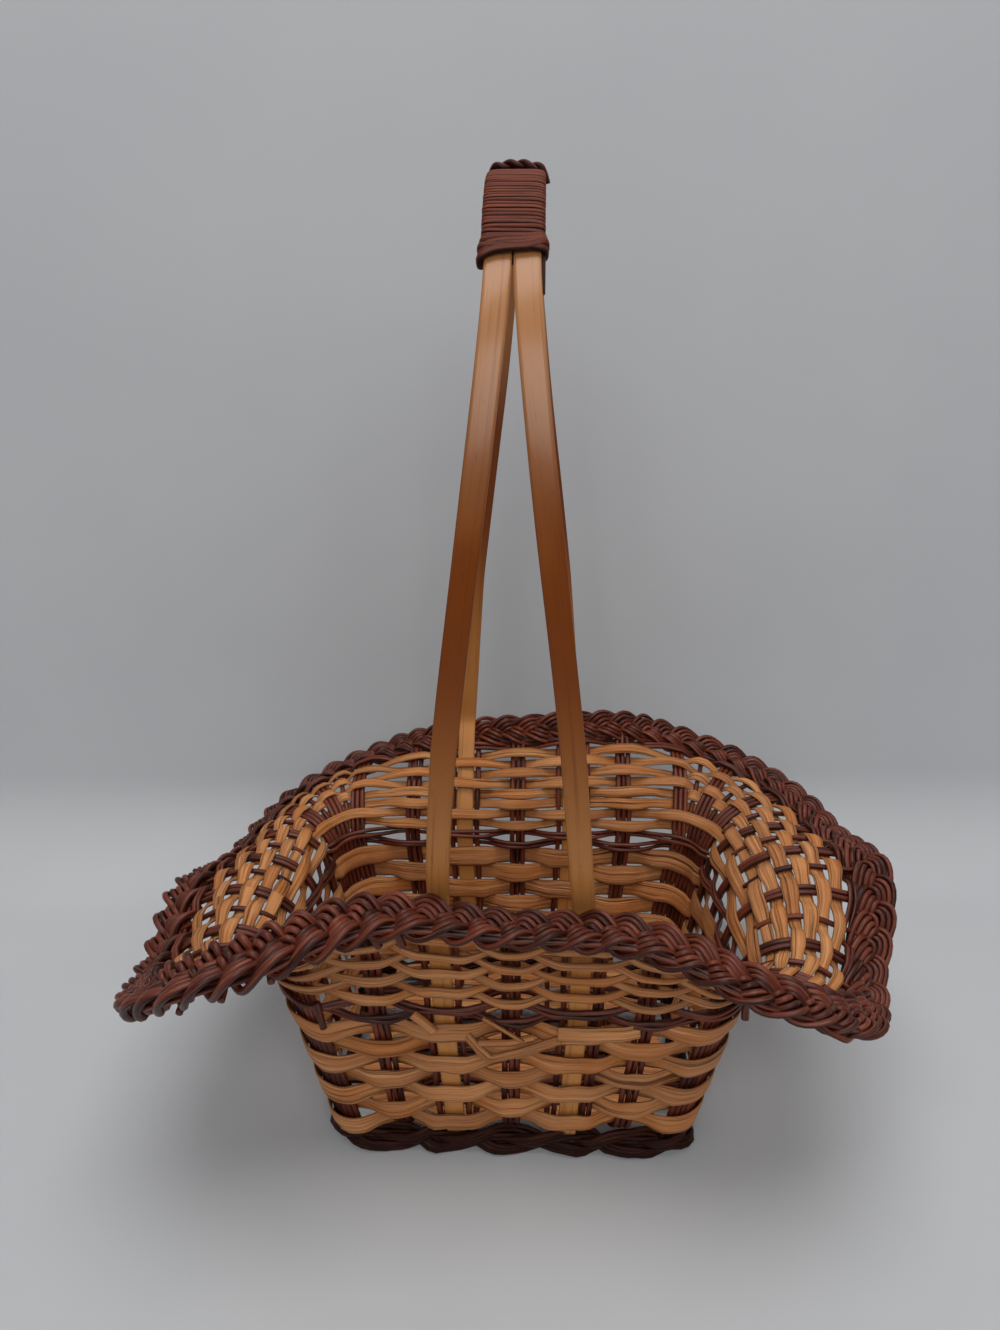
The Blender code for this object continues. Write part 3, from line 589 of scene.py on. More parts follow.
def build_body_rows(settings):
    """Seven rows, each starting on the other side of the stakes from the one below."""
    for row in range(BODY_ROWS):
        bundle = Bundle()
        level = (LOWEST_ROW + ROW_PITCH * row) / WAIST_HEIGHT
        splint_row(bundle, BODY_SEED + row, level, True, -1 if row % 2 == 0 else 1,
                   lambda turn: np.full_like(turn, settings.row_width), wall_length,
                   lambda turn: np.full_like(turn, settings.row_lift), body_drift(row))
        bundle.make(f"splint_row_body_{row + 1}", "pale_splint", f"body_row_{row + 1}")


def brim_lift(turn):
    """Passes bulge less at the sides, where by-stakes shorten them."""
    from_side = np.abs(np.mod(turn, 0.5) - SIDE_TURN)
    return mix(BRIM_LIFT, SIDE_LIFT, smooth_step((SIDE_REACH - from_side) / SIDE_FADE))


def brim_row_width(turn):
    """One row's share of the brim that the border leaves free."""
    return BRIM_ROW_STEP_SHARE * brim_room(turn) * brim_length(turn)


def spread(share):
    """Level and drift that keep a row at one share of the brim that the border leaves free."""
    level = 1 + share * (1 - BORDER_WIDTH / 2 / BRIM_LENGTH)
    return level, lambda turn: (1 + share * brim_room(turn) - level) * brim_length(turn)


def build_brim_rows():
    """Eight narrow rows that spread evenly over the brim; the lowest ones gather the corner stakes."""
    for row in range(BRIM_ROWS):
        bundle = Bundle()
        level, drift = spread(FIRST_BRIM_ROW_SHARE + BRIM_ROW_STEP_SHARE * row)
        splint_row(bundle, BRIM_SEED + row, level, row < GATHERED_ROWS, 1 if row % 2 == 0 else -1,
                   brim_row_width, brim_length, brim_lift, drift)
        bundle.make(f"splint_row_brim_{row + 1}", "pale_splint", f"brim_row_{row + 1}")


def build_wales(settings):
    """Two wales at the waist and one under the border, two reeds each."""
    wales = (
        ("waist_wale_lower", (LOWER_WALE / WAIST_HEIGHT, np.zeros_like), True, 1, wall_length),
        ("waist_wale_upper", (1 + UPPER_WALE_SHARE, np.zeros_like), True, -1, brim_length),
        ("top_wale", spread(TOP_WALE_SHARE), False, 1, brim_length),
    )
    for seed, (name, (level, drift), gathered, side, length_of) in zip(WALE_SEEDS, wales):
        bundle = Bundle()
        reed_wale(bundle, seed, level, gathered, side, length_of, WALE_REEDS, settings.wale_reed, drift)
        bundle.make(f"reeds_{name}", "dark_reed", name)


# Stakes

STAKE_REED = 2.5 * MM
END_REED = 2.6 * MM
THIN_REED = 2.3 * MM
BY_STAKE_REED = 2.4 * MM
BY_STAKE_BOTTOM = 1.25
STAKE_TOP = 1.93
STAKE_STEP = 1.6 * MM
STAKE_WANDER = 0.45 * MM
BASE_LIFT = 2.7 * MM
BASE_SPLINT_LIFT = 2.2 * MM
WALL_STEPS = 90
ACROSS_STEPS = 60
BY_STAKE_STEPS = 40
BASE_SPLINT_STEPS = 120
BEND_START_SHARE = 0.15
BEND_STEPS = 6
CROSSWISE_REEDS = 3
CROSSWISE_SPACING_SHARE = 1.02
END_SPACING_SHARE = 1.05
CORNER_SPACING_SHARE = 0.98
CORNER_FOOT_SHARE = 0.6
STAKE_WAVES = (3, 7, 11)
CROSSWISE_SEED = 300
CROSSWISE_SEED_STEP = 40
END_SEED = 420
END_SEED_STEP = 9
HANDLE_SEED = 500
HANDLE_SEED_STEP = 7

# Each reed beside a handle strip: its strip, then its place in offsets from the strip and its thickness
HANDLE_REEDS = {
    "left_reed_left": (0, ((-1.0, END_REED),)),
    "left_reed_right": (0, ((1.0, END_REED),)),
    "right_reed_left": (1, ((-1.0, THIN_REED),)),
    "right_reed_right": (1, ((1.0, THIN_REED), (1.38, THIN_REED))),
}


def wall_line(stake, offset, bottom):
    """A reed's middle line from under the border down to a height, and the direction along the weave."""
    level = np.linspace(STAKE_TOP, bottom / WAIST_HEIGHT, WALL_STEPS)
    turn = stake_turn(stake, level)
    turn = turn + offset / reach(turn, level)
    wide = unit(surface(turn + SMALL_TURN, level) - surface(turn - SMALL_TURN, level))
    return surface(turn, level), wide


def base_corner(point, before):
    """Quarter circle from the wall's run into the base plane."""
    lean = point - before
    inward = unit(np.array([lean[0], lean[1], 0.0]))
    angle = np.linspace(BEND_START_SHARE, 1, BEND_STEPS)[:, None] * math.pi / 2
    return point + BASE_BEND * (inward * (1 - np.cos(angle)) - np.array(ALONG_Z) * np.sin(angle))


def through_reed(bundle, seed, first, second, offset, width, heights=None):
    """One reed from border to border: down a wall, across under the base and up the other wall."""
    down, wide_down = wall_line(first, offset, BASE_PLANE + BASE_BEND)
    up, wide_up = wall_line(second, -offset, BASE_PLANE + BASE_BEND)
    down = np.concatenate([down, base_corner(down[-1], down[-2])])
    up = np.concatenate([up, base_corner(up[-1], up[-2])])[::-1]
    share = np.linspace(0, 1, ACROSS_STEPS)[1:-1, None]
    across = mix(down[-1], up[0], share)
    if heights is not None:
        across[:, 2] = BASE_PLANE + heights(across[:, 0])
    line = smooth_line(np.concatenate([down, across, up]), STAKE_STEP, 3)
    place = np.linspace(0, 1, len(line))
    side = mix(wide_down[-1], -wide_up[-1], place[:, None])
    line += unit(side) * wobble(seed, place, STAKE_WAVES, STAKE_WANDER)[:, None]
    add_reed(bundle, line, side, width, seed)


def crosswise_places():
    """X of each crosswise group where it runs over the base, with its half width."""
    places = []
    for front, _ in FRONT_TO_BACK:
        places.append((wall_line(front, 0, BASE_PLANE)[0][-1][0], CROSSWISE_REEDS / 2 * STAKE_REED))
    for front, _ in HANDLE_STAKES:
        places.append((wall_line(front, 0, BASE_PLANE)[0][-1][0], HANDLE_REED_OFFSET))
    return sorted(places)


def base_weave(first_side, lift):
    """Height over the base plane of a lengthwise piece, over and under the crosswise groups."""
    groups = crosswise_places()
    keys, values = [], []
    for i, (place, half) in enumerate(groups):
        keys += [place - half, place + half]
        values += [first_side * (-1) ** i * lift] * 2
    ends = 2 * HANDLE_REED_OFFSET
    keys = np.array([keys[0] - ends, *keys, keys[-1] + ends])
    values = np.array([0.0, *values, 0.0])
    return lambda x: blend_keys(keys, values, x)


def build_through_stakes():
    """Crosswise stakes of three reeds, and lengthwise ones of two that weave through them under the base."""
    for (front, back), word in zip(FRONT_TO_BACK, ("left", "middle", "right")):
        bundle = Bundle()
        for reed in (-1, 0, 1):
            offset = reed * STAKE_REED * CROSSWISE_SPACING_SHARE
            seed = CROSSWISE_SEED + front + reed * CROSSWISE_SEED_STEP
            through_reed(bundle, seed, front, back, offset, STAKE_REED)
        bundle.make(f"reeds_crosswise_{word}", "dark_reed", f"crosswise_stakes_{word}")
    for i, (right, left) in enumerate(END_TO_END):
        bundle = Bundle()
        heights = base_weave(1 if i % 2 else -1, BASE_LIFT)
        for reed in (-0.5, 0.5):
            offset = reed * END_REED * END_SPACING_SHARE
            seed = END_SEED + i * END_SEED_STEP + int(reed * 4)
            through_reed(bundle, seed, left, right, offset, END_REED, heights)
        bundle.make(f"reeds_lengthwise_{i + 1}", "dark_reed", f"lengthwise_stakes_{i + 1}")


def build_handle_reeds():
    """Single reeds beside the strips, and a second one at the right of the right strip."""
    for i, (word, (pair, reeds)) in enumerate(HANDLE_REEDS.items()):
        bundle = Bundle()
        for k, (share, width) in enumerate(reeds):
            offset = share * HANDLE_REED_OFFSET
            seed = HANDLE_SEED + i * HANDLE_SEED_STEP + k
            through_reed(bundle, seed, *HANDLE_STAKES[pair], offset, width)
        bundle.make(f"reeds_handle_{word}", "dark_reed", f"handle_{word}")


def build_corner_stakes(settings):
    """Three reeds side by side in each corner stake, from the foot to under the border."""
    width = settings.stake_reed
    for corner, word in zip(CORNERS, ("front_right", "back_right", "back_left", "front_left")):
        for i, stake in enumerate(corner):
            bundle = Bundle()
            for reed in (-1, 0, 1):
                offset = reed * width * CORNER_SPACING_SHARE
                line, wide = wall_line(stake, offset, FOOT_HEIGHT * CORNER_FOOT_SHARE)
                add_reed(bundle, smooth_line(line, STAKE_STEP, 2), wide[0], width, stake)
            bundle.make(f"reeds_corner_{word}_{i + 1}", "dark_reed", f"corner_stake_{word}_{i + 1}")


def build_by_stakes():
    """Thinner reeds that join the brim between the stakes of both ends."""
    level = np.linspace(BY_STAKE_BOTTOM, STAKE_TOP, BY_STAKE_STEPS)
    for side, word in zip(BY_STAKES, ("right", "left")):
        bundle = Bundle()
        for stake in side:
            turn = by_stake_turn(stake, level)
            wide = surface(turn + SMALL_TURN, level) - surface(turn - SMALL_TURN, level)
            add_reed(bundle, surface(turn, level), wide, BY_STAKE_REED, stake)
        bundle.make(f"reeds_by_stakes_{word}", "dark_reed")


def build_base_splints():
    """Pale splints midway between the lengthwise stakes, and one past each side of them."""
    rows = [wall_line(right, 0, BASE_PLANE)[0][-1][1] for right, _ in END_TO_END]
    step = rows[1] - rows[0]
    places = [rows[0] - step / 2] + [(a + b) / 2 for a, b in zip(rows, rows[1:])] + [rows[-1] + step / 2]
    heights = base_weave(1, BASE_SPLINT_LIFT)
    for i, (y, half) in enumerate(zip(places, BASE_SPLINT_REACHES)):
        bundle = Bundle()
        x = np.linspace(-half, half, BASE_SPLINT_STEPS) + ORIGIN[0]
        line = np.stack([x, np.full_like(x, y), BASE_PLANE + heights(x)], -1)
        add_splint(bundle, line, ALONG_Y, BASE_SPLINT_WIDTH, SPLINT_THICKNESS, i)
        bundle.make(f"splint_base_{i + 1}", "pale_splint", f"base_splint_{i + 1}")


# Plaits

STRANDS = 3
BORDER_PLAITS = 25
BORDER_REED = 2.5 * MM
BORDER_REEDS = 4
BORDER_CORE_REEDS = 7
BORDER_SWING = 4.9 * MM
BORDER_DEPTH = 3.5 * MM
FOOT_PLAITS = 6
FOOT_REED = 2.3 * MM
FOOT_REEDS = 3
FOOT_CORE_REEDS = 4
FOOT_SWING = 5.0 * MM
FOOT_DEPTH = 2.6 * MM
FOOT_MIDDLE = 5.8 * MM
FOOT_SQUASH_SHARE = 0.6
CORE_REED = 2.2 * MM
CORE_STEPS = 560
STEPS_PER_PLAIT = 26
PLAIT_ROLL = 0.22
PLAIT_WANDER = 0.4 * MM
PLAIT_UNEVEN = 0.5
REED_SPREAD_SHARE = 0.22
REED_WIDTH_SHARE = 0.08
UNEVEN_WAVES = (5, 9, 14, 21)
SPREAD_WAVES = (31, 47, 61)
OUT_WAVES = (23, 37, 59, 83)
REED_WIDTH_WAVES = (19, 43, 71)
CORE_WAVES = (7, 19, 31)
BORDER_SEED = 700
FOOT_SEED = 800
CORE_SEED = 60
STRAND_SEED_STEP = 10
OUT_SEED = 300
REED_WIDTH_SEED = 600


def plait(bundle, place, count, swing, depth, reed, reeds, length, seed):
    """Flat plait of three strands: each swings across as a sine and dips at twice that rate, a third apart.

    A strand's reeds lie side by side, square to its slanting run, so they fan round each outer bend.
    """
    t = np.arange(count * STEPS_PER_PLAIT) / (count * STEPS_PER_PLAIT)
    uneven = wobble(seed, t, UNEVEN_WAVES, PLAIT_UNEVEN)
    for strand in range(STRANDS):
        phase = math.tau * (count * t + strand / STRANDS) + uneven
        slope = swing * math.tau * count / length * np.cos(phase)
        for reed_index in range(reeds):
            own = seed + strand * STRAND_SEED_STEP + reed_index
            spacing = reed * (1 + wobble(own, t, SPREAD_WAVES, REED_SPREAD_SHARE))
            offset = side_by_side(reed_index, reeds) * spacing
            across = swing * np.sin(phase) + offset / np.hypot(1, slope)
            back = -offset * slope / np.hypot(1, slope)
            out = depth * np.sin(2 * phase) + offset * PLAIT_ROLL * np.cos(phase)
            out += wobble(own + OUT_SEED, t, OUT_WAVES, PLAIT_WANDER)
            path = place(t + back / length, across, out)
            normal = place(t + back / length, across, out + MM) - path
            side = np.cross(np.roll(path, -1, axis=0) - np.roll(path, 1, axis=0), normal)
            grown = np.linalg.norm(normal, axis=1) / MM
            uneven_width = 1 + wobble(own + REED_WIDTH_SEED, t, REED_WIDTH_WAVES, REED_WIDTH_SHARE)
            width = reed * grown * uneven_width
            add_reed(bundle, path, side, width, own, closed=True)


def core(bundle, place, reeds, seed):
    """Reeds that run side by side along the middle of a plait and close it to the light."""
    t = np.arange(CORE_STEPS) / CORE_STEPS
    for index in range(reeds):
        middle = side_by_side(index, reeds) * CORE_REED
        across = middle + wobble(seed + index, t, CORE_WAVES, PLAIT_WANDER)
        path = place(t, across, np.zeros_like(t))
        normal = place(t, across, np.full_like(t, MM)) - path
        add_reed(bundle, path, normal, CORE_REED, seed + index, closed=True)


def build_border(settings):
    """The plait along the brim's edge, laid over the border's own band."""
    turn, distance = walk_round(2.0)

    def place(share, across, out):
        here = np.interp(np.mod(share, 1.0) * distance[-1], distance, turn)
        return border_point(here, across, out)

    bundle = Bundle()
    plait(bundle, place, settings.border_plaits, BORDER_SWING, BORDER_DEPTH, settings.border_reed,
          BORDER_REEDS, distance[-1], BORDER_SEED)
    core(bundle, place, BORDER_CORE_REEDS, BORDER_SEED + CORE_SEED)
    bundle.make("reeds_border_plait", "dark_reed", "plaited_border")


def build_foot(settings):
    """The plait round the foot, upright, its lower half pressed flatter on the floor."""
    turn = np.linspace(0, 1, FINE_STEPS + 1)
    rise = FOOT_HEIGHT / WAIST_HEIGHT
    ring = np.concatenate([plan(turn, rise)[0], np.zeros((len(turn), 1))], -1)
    distance = walked(ring)

    def place(share, across, out):
        here = np.interp(np.mod(share, 1.0) * distance[-1], distance, turn)
        point, outward = plan(here, rise)
        height = FOOT_MIDDLE + np.where(across < 0, across * FOOT_SQUASH_SHARE, across)
        return np.concatenate([point + outward * out[:, None], height[:, None]], -1) + ORIGIN

    bundle = Bundle()
    plait(bundle, place, settings.foot_plaits, FOOT_SWING, FOOT_DEPTH, settings.foot_reed,
          FOOT_REEDS, distance[-1], FOOT_SEED)
    core(bundle, place, FOOT_CORE_REEDS, FOOT_SEED + CORE_SEED)
    bundle.make("reeds_foot_plait", "dark_reed", "foot_ring")


# Handle

BINDING_TURNS = 62
STEPS_PER_TURN = 32
CANE_WIDTH = 1.64 * MM
CANE_THICKNESS = 1.2 * MM
CANE_ROOM = 0.15 * MM
WRAP_CORNER = 0.42
CROSS_TURN_ZONE = 8.0 * MM
CROSS_TURNS = ((7.6, 0.8), (6.0, 1.8), (4.7, 2.5), (4.0, -0.5), (3.2, 2.7))
CROSS_CANE_WIDTH = 2.3 * MM
CROSS_CANE_THICKNESS = 1.9 * MM
CROSS_TURN_LENGTH = 1.15
CROSS_TURN_STEPS = 48
CROSS_TURN_START = 0.13
CROSS_ROOM = 0.85 * MM
CROSS_ROOM_STEP = 0.18 * MM
CROSS_END_ROOM = 0.7 * MM
WRAP_SQUARENESS = 0.8
BINDING_WANDER = 0.4 * MM
BINDING_ROOM_WANDER = 0.14 * MM
BINDING_WAVES = (31, 53, 71, 97)
BINDING_ROOM_WAVES = (29, 44, 67)
BINDING_SEED = 950
BINDING_GRAIN = 40
CROSS_GRAIN = 60
STRIP_LEVELS = (0.6, 1.0, 1.2, 1.45, STRIP_STEP_LEVEL)
STRIP_STEP_LIFT_SHARE = -0.1
STRIP_STEP = 1.5 * MM
STRIP_SMOOTHING = 14
STRIP_SIDES = 16
STRIP_SQUARENESS = 0.35
STRIP_WIDTH_WANDER_SHARE = 0.05
STRIP_WAVES = (3, 5, 11)
STRIP_SEED = 900
ARCH_STEPS = 96
CROWN_STEPS = 600
ROPE_LEFT = -9.0 * MM
ROPE_RIGHT = 10.0 * MM
ROPE_STEPS = 90
ROPE_STRANDS = 2
ROPE_PITCH = 9.5 * MM
ROPE_LIFT = 2.5 * MM
ROPE_ARCH = 50 * MM
ROPE_FLAT = 7.2 * MM
ROPE_MIDDLE = 0.5 * MM
ROPE_DROP = 1.6 * MM
ROPE_SIDEWAYS = 1.25 * MM
ROPE_UPWARD = 0.9 * MM
ROPE_CANE_WIDTH = 2.4 * MM
ROPE_CANE_THICKNESS = 2.2 * MM
ROPE_GRAIN = 70


def crown_curve(steps):
    """Side view of the arch from its front spring to its back one: a superellipse."""
    angle = math.pi * np.arange(steps + 1) / steps
    power = 2 / HANDLE_ROUNDNESS
    y = -signed_power(np.cos(angle), power) * HANDLE_REACH
    z = HANDLE_SPRING + (HANDLE_TOP - HANDLE_SPRING) * np.maximum(np.sin(angle), 0) ** power
    return np.stack([np.zeros_like(y), y, z], -1)


def strip_wall(stake):
    """A strip's points from the foot up through the weave and in past the border."""
    turn = float(stake_turn(stake, 1.0))
    rolled = math.radians(around(BORDER_LEAN_DEGREES, turn) - around(EDGE_LEAN_DEGREES, turn))
    along, square = border_half(turn)
    half = along / float(brim_length(turn))
    clear = square + STRIP_THICKNESS / 2 + STRIP_BORDER_GAP
    levels = np.array([FOOT_HEIGHT / WAIST_HEIGHT, *STRIP_LEVELS, 2 - half, 2 - half / 2, 2 + half / 2])
    step_in = mix(STEP_IN_SHARE, 1, abs(math.sin(rolled)))
    lifts = np.array([0, 0, 0, 0, 0, STRIP_STEP_LIFT_SHARE, -step_in, -1, -1]) * clear
    return surface(turn, levels, lifts)


def strip_line(front, back, side):
    """Whole strip, front foot to back foot, drawn together at the crown."""
    low_front, low_back = strip_wall(front), strip_wall(back)
    arch = crown_curve(ARCH_STEPS)
    distance = walked(arch)
    middle = distance[-1] / 2
    parted = abs(low_front[-1][0] - ORIGIN[0])
    together = (STRIP_WIDTH + STRIP_SPLIT) / 2
    free = middle - BINDING_SPAN / 2 + HANDLE_SPRING - low_front[-1][2]
    share = np.clip((np.abs(distance - middle) - BINDING_SPAN / 2) / free, 0, 1)
    apart = share ** DRAW_POWER + DRAW_BULGE_SHARE * share ** 2 * (1 - share)
    arch[:, 0] = side * mix(together, parted, apart)
    arch += ORIGIN
    rises = []
    for low, high in ((low_front[-1], arch[0]), (low_back[-1], arch[-1])):
        share = np.array(RISE_SHARES)[:, None]
        run = mix(low, high, share)
        run[:, 1] = mix(low[1], high[1], 1 - (1 - share[:, 0]) ** 2)
        rises.append(run)
    points = np.concatenate([low_front, rises[0], arch, rises[1][::-1], low_back[::-1]])
    return smooth_line(points, STRIP_STEP, STRIP_SMOOTHING)


def build_handle_strips():
    """Both strips, each from the foot in front over the crown to the foot at the back."""
    for (front, back), side, word in zip(HANDLE_STAKES, (-1, 1), ("left", "right")):
        line = strip_line(front, back, side)
        place = np.linspace(0, 1, len(line))
        uneven = 1 + wobble(STRIP_SEED + side, place, STRIP_WAVES, STRIP_WIDTH_WANDER_SHARE)
        width = STRIP_WIDTH * uneven
        rings = tube(line, ALONG_X, width, STRIP_THICKNESS, sides=STRIP_SIDES, squareness=STRIP_SQUARENESS)
        bundle = Bundle()
        bundle.sweep(rings, start=side * UV_JUMP)
        bundle.make(f"cane_handle_{word}", "handle_strip", f"handle_strip_{word}")


def crown_frame(distance):
    """Point, run and outward direction of the crown's middle line at distances from its top."""
    arch = crown_curve(CROWN_STEPS)
    along = walked(arch)
    at = distance + along[-1] / 2
    point = np.stack([np.interp(at, along, arch[:, axis]) for axis in range(3)], -1)
    slope = unit(np.gradient(arch, along, axis=0))
    run = unit(np.stack([np.interp(at, along, slope[:, axis]) for axis in range(3)], -1))
    return point + ORIGIN, run, np.stack([np.zeros_like(at), -run[:, 2], run[:, 1]], -1)


def wrap(bundle, angle, distance, room, width, thickness, seed):
    """Cane wound round both strips, stepped along the crown by distance.

    One turn is a rounded rectangle: the cosine and the sine of its angle, each raised to a power.
    """
    point, run, normal = crown_frame(distance)
    across = signed_power(np.cos(angle), WRAP_CORNER) * (STRIP_WIDTH + room)
    out = signed_power(np.sin(angle), WRAP_CORNER) * (STRIP_THICKNESS / 2 + room)
    path = point + across[:, None] * np.array(ALONG_X) + normal * out[:, None]
    rings = tube(path, run, width, thickness, sides=REED_SIDES, squareness=WRAP_SQUARENESS)
    bundle.sweep(rings, start=seed * UV_JUMP)


def build_binding(settings):
    """One long cane from end to end of the binding, each turn a little uneven."""
    bundle = Bundle()
    turns = np.linspace(0, settings.turns, settings.turns * STEPS_PER_TURN + 1)
    place = turns / settings.turns
    distance = (place - 0.5) * (BINDING_SPAN - 2 * CROSS_TURN_ZONE)
    distance = distance + wobble(BINDING_SEED, place, BINDING_WAVES, BINDING_WANDER)
    room = CANE_THICKNESS / 2 + CANE_ROOM
    room = room + wobble(BINDING_SEED + 1, place, BINDING_ROOM_WAVES, BINDING_ROOM_WANDER)
    wrap(bundle, math.tau * turns, distance, room, settings.cane_width, CANE_THICKNESS, BINDING_GRAIN)
    bundle.make("cane_handle_binding", "binding_cane", "handle_binding")


def build_binding_ends():
    """Looser, thicker turns laid aslant over each end of the binding."""
    for end, word in ((-1, "front"), (1, "back")):
        bundle = Bundle()
        for k, (offset, slant) in enumerate(CROSS_TURNS):
            turns = np.linspace(0, CROSS_TURN_LENGTH, CROSS_TURN_STEPS)
            angle = math.tau * (turns + CROSS_TURN_START * k)
            distance = end * (BINDING_SPAN / 2 - offset * MM) + slant * MM * np.cos(angle)
            room = np.full_like(turns, CROSS_ROOM + CROSS_ROOM_STEP * k)
            room[0] = room[-1] = CROSS_END_ROOM
            wrap(bundle, angle, distance, room, CROSS_CANE_WIDTH, CROSS_CANE_THICKNESS, CROSS_GRAIN + k)
        bundle.make(f"cane_cross_turns_{word}", "binding_cane")


def build_crown_tie():
    """Two canes twisted into a rope across the very top, its ends turned down and cut.

    Each strand circles the rope's line once a pitch. The line falls away from the middle as a square, and
    faster past its flat part.
    """
    bundle = Bundle()
    x = np.linspace(ROPE_LEFT, ROPE_RIGHT, ROPE_STEPS)
    point, run, normal = crown_frame(np.zeros(1))
    past = np.maximum(np.abs(x - ROPE_MIDDLE) - ROPE_FLAT, 0)
    height = STRIP_THICKNESS / 2 + ROPE_LIFT - (x ** 2 / ROPE_ARCH + past ** 2 / ROPE_DROP)
    for strand in range(ROPE_STRANDS):
        angle = math.tau * (x / ROPE_PITCH + strand / ROPE_STRANDS)
        path = (point + x[:, None] * np.array(ALONG_X) + run * (ROPE_SIDEWAYS * np.cos(angle))[:, None]
                + normal * (height + ROPE_UPWARD * np.sin(angle))[:, None])
        rings = tube(path, run[0], ROPE_CANE_WIDTH, ROPE_CANE_THICKNESS, sides=REED_SIDES)
        bundle.sweep(rings, start=ROPE_GRAIN + strand * UV_JUMP)
    bundle.make("cane_crown_rope", "binding_cane", "crown_tie")


# Broken splints and cut ends, where the photograph shows them

# Width in millimetres, then a few places along the piece: turn, level and millimetres of lift
LOOSE_SPLINTS = {
    "folded": (4.4, ((0.977, 0.870, 2.5), (0.9835, 0.800, 4.6), (0.9888, 0.745, 5.2), (1.004, 0.790, 5.0),
                     (1.0255, 0.868, 3.6))),
    "folded_tail": (3.6, ((0.983, 0.838, 4.2), (1.000, 0.846, 4.0), (1.012, 0.880, 3.6))),
    "broken_end": (5.0, ((0.951, 1.030, 4.0), (0.956, 0.985, 5.0), (0.9615, 0.935, 6.2))),
    "sliver": (1.8, ((0.986, 1.005, 3.8), (0.996, 0.945, 4.8), (1.0065, 0.880, 6.0))),
    "row_start": (7.6, ((1.0240, 0.915, 4.3), (1.040, 0.912, 4.3), (1.058, 0.916, 3.6), (1.066, 0.918, 2.0))),
}
LOOSE_REEDS = {
    "left_waist": (3.0, ((0.8985, 1.120, 3.6), (0.9005, 1.030, 4.8), (0.9030, 0.945, 6.2))),
    "under_border_1": (3.2, ((0.9190, 1.930, 2.0), (0.9222, 1.850, 4.4))),
    "under_border_2": (3.2, ((0.9360, 1.900, 2.0), (0.9392, 1.790, 4.4))),
    "under_border_3": (3.2, ((0.9470, 1.900, 2.0), (0.9502, 1.790, 4.4))),
    "right_waist": (3.2, ((1.1400, 1.300, 4.0), (1.1395, 1.180, 6.0), (1.1385, 1.080, 8.5))),
}
# Width in millimetres, then places: turn, and millimetres across the border's band and out of its face
BORDER_ENDS = {
    "back_left": (2.6, ((0.5650, 0.0, 1.0), (0.5705, 4.0, 3.6), (0.5745, 9.0, 4.6))),
    "back_right": (3.0, ((0.2990, 0.0, 1.0), (0.3020, 5.0, 4.0), (0.3060, 11.0, 5.0))),
    "left_tip": (2.6, ((0.7860, 0.0, 1.5), (0.7890, 5.0, 4.0), (0.7930, 9.5, 4.4))),
    "left_low_1": (2.8, ((0.8500, -2.0, 3.0), (0.8560, 3.0, 5.4), (0.8600, 8.6, 5.0))),
    "left_low_2": (2.8, ((0.8680, -3.0, 3.0), (0.8720, 3.0, 5.6), (0.8750, 8.4, 5.2))),
    "left_low_3": (2.8, ((0.8860, -4.0, 3.0), (0.8900, 2.0, 5.4), (0.8940, 7.4, 5.2))),
    "right_loop": (2.2, ((0.1330, 3.0, 2.0), (0.1365, 9.0, 2.4), (0.1417, 11.6, 2.0), (0.1470, 9.0, 2.4),
                         (0.1500, 3.0, 2.0))),
}
LOOSE_SPLINT_THICKNESS = 0.9 * MM
LOOSE_STEP = 0.7 * MM
BORDER_END_WIDE = (0.3, 1.0, 0.2)
BORDER_END_SEED = 20
HANGING_CANE_PLACES = (-3.0, 3.0, 7.0, 10.0)
HANGING_CANE_ASIDE = 0.8 * MM
HANGING_CANE_WIDTH = 1.8 * MM
HANGING_CANE_THICKNESS = 1.2 * MM
HANGING_CANE_GRAIN = 90


def loose_line(points):
    """Smooth line through a few places on the surface: turn, level and millimetres of lift."""
    turn, level, lift = np.array(points).T
    return smooth_line(surface(turn, level, lift * MM), LOOSE_STEP, 2)


def build_loose_ends():
    """A folded splint and broken ends at the front, dark stubs, and an end of cane under the binding."""
    splints = Bundle()
    for seed, (width, points) in enumerate(LOOSE_SPLINTS.values()):
        add_splint(splints, loose_line(points), ALONG_Z, width * MM, LOOSE_SPLINT_THICKNESS, seed)
    splints.make("splint_loose_ends", "pale_splint")
    reeds = Bundle()
    for seed, (width, points) in enumerate(LOOSE_REEDS.values()):
        add_reed(reeds, loose_line(points), ALONG_X, width * MM, seed)
    for seed, (width, points) in enumerate(BORDER_ENDS.values()):
        turn, across, out = np.array(points).T
        line = smooth_line(border_point(turn, across * MM, out * MM), LOOSE_STEP, 3)
        add_reed(reeds, line, BORDER_END_WIDE, width * MM, seed + BORDER_END_SEED)
    reeds.make("reeds_cut_ends", "dark_reed")
    cane = Bundle()
    below = np.array(HANGING_CANE_PLACES) * MM
    point, _, normal = crown_frame(-BINDING_SPAN / 2 - below)
    line = smooth_line(point + np.array([STRIP_WIDTH + HANGING_CANE_ASIDE, 0.0, 0.0]), LOOSE_STEP, 0)
    rings = tube(line, normal[0], HANGING_CANE_WIDTH, HANGING_CANE_THICKNESS, sides=REED_SIDES)
    cane.sweep(rings, start=HANGING_CANE_GRAIN * UV_JUMP)
    cane.make("cane_hanging_end", "binding_cane")


# Materials

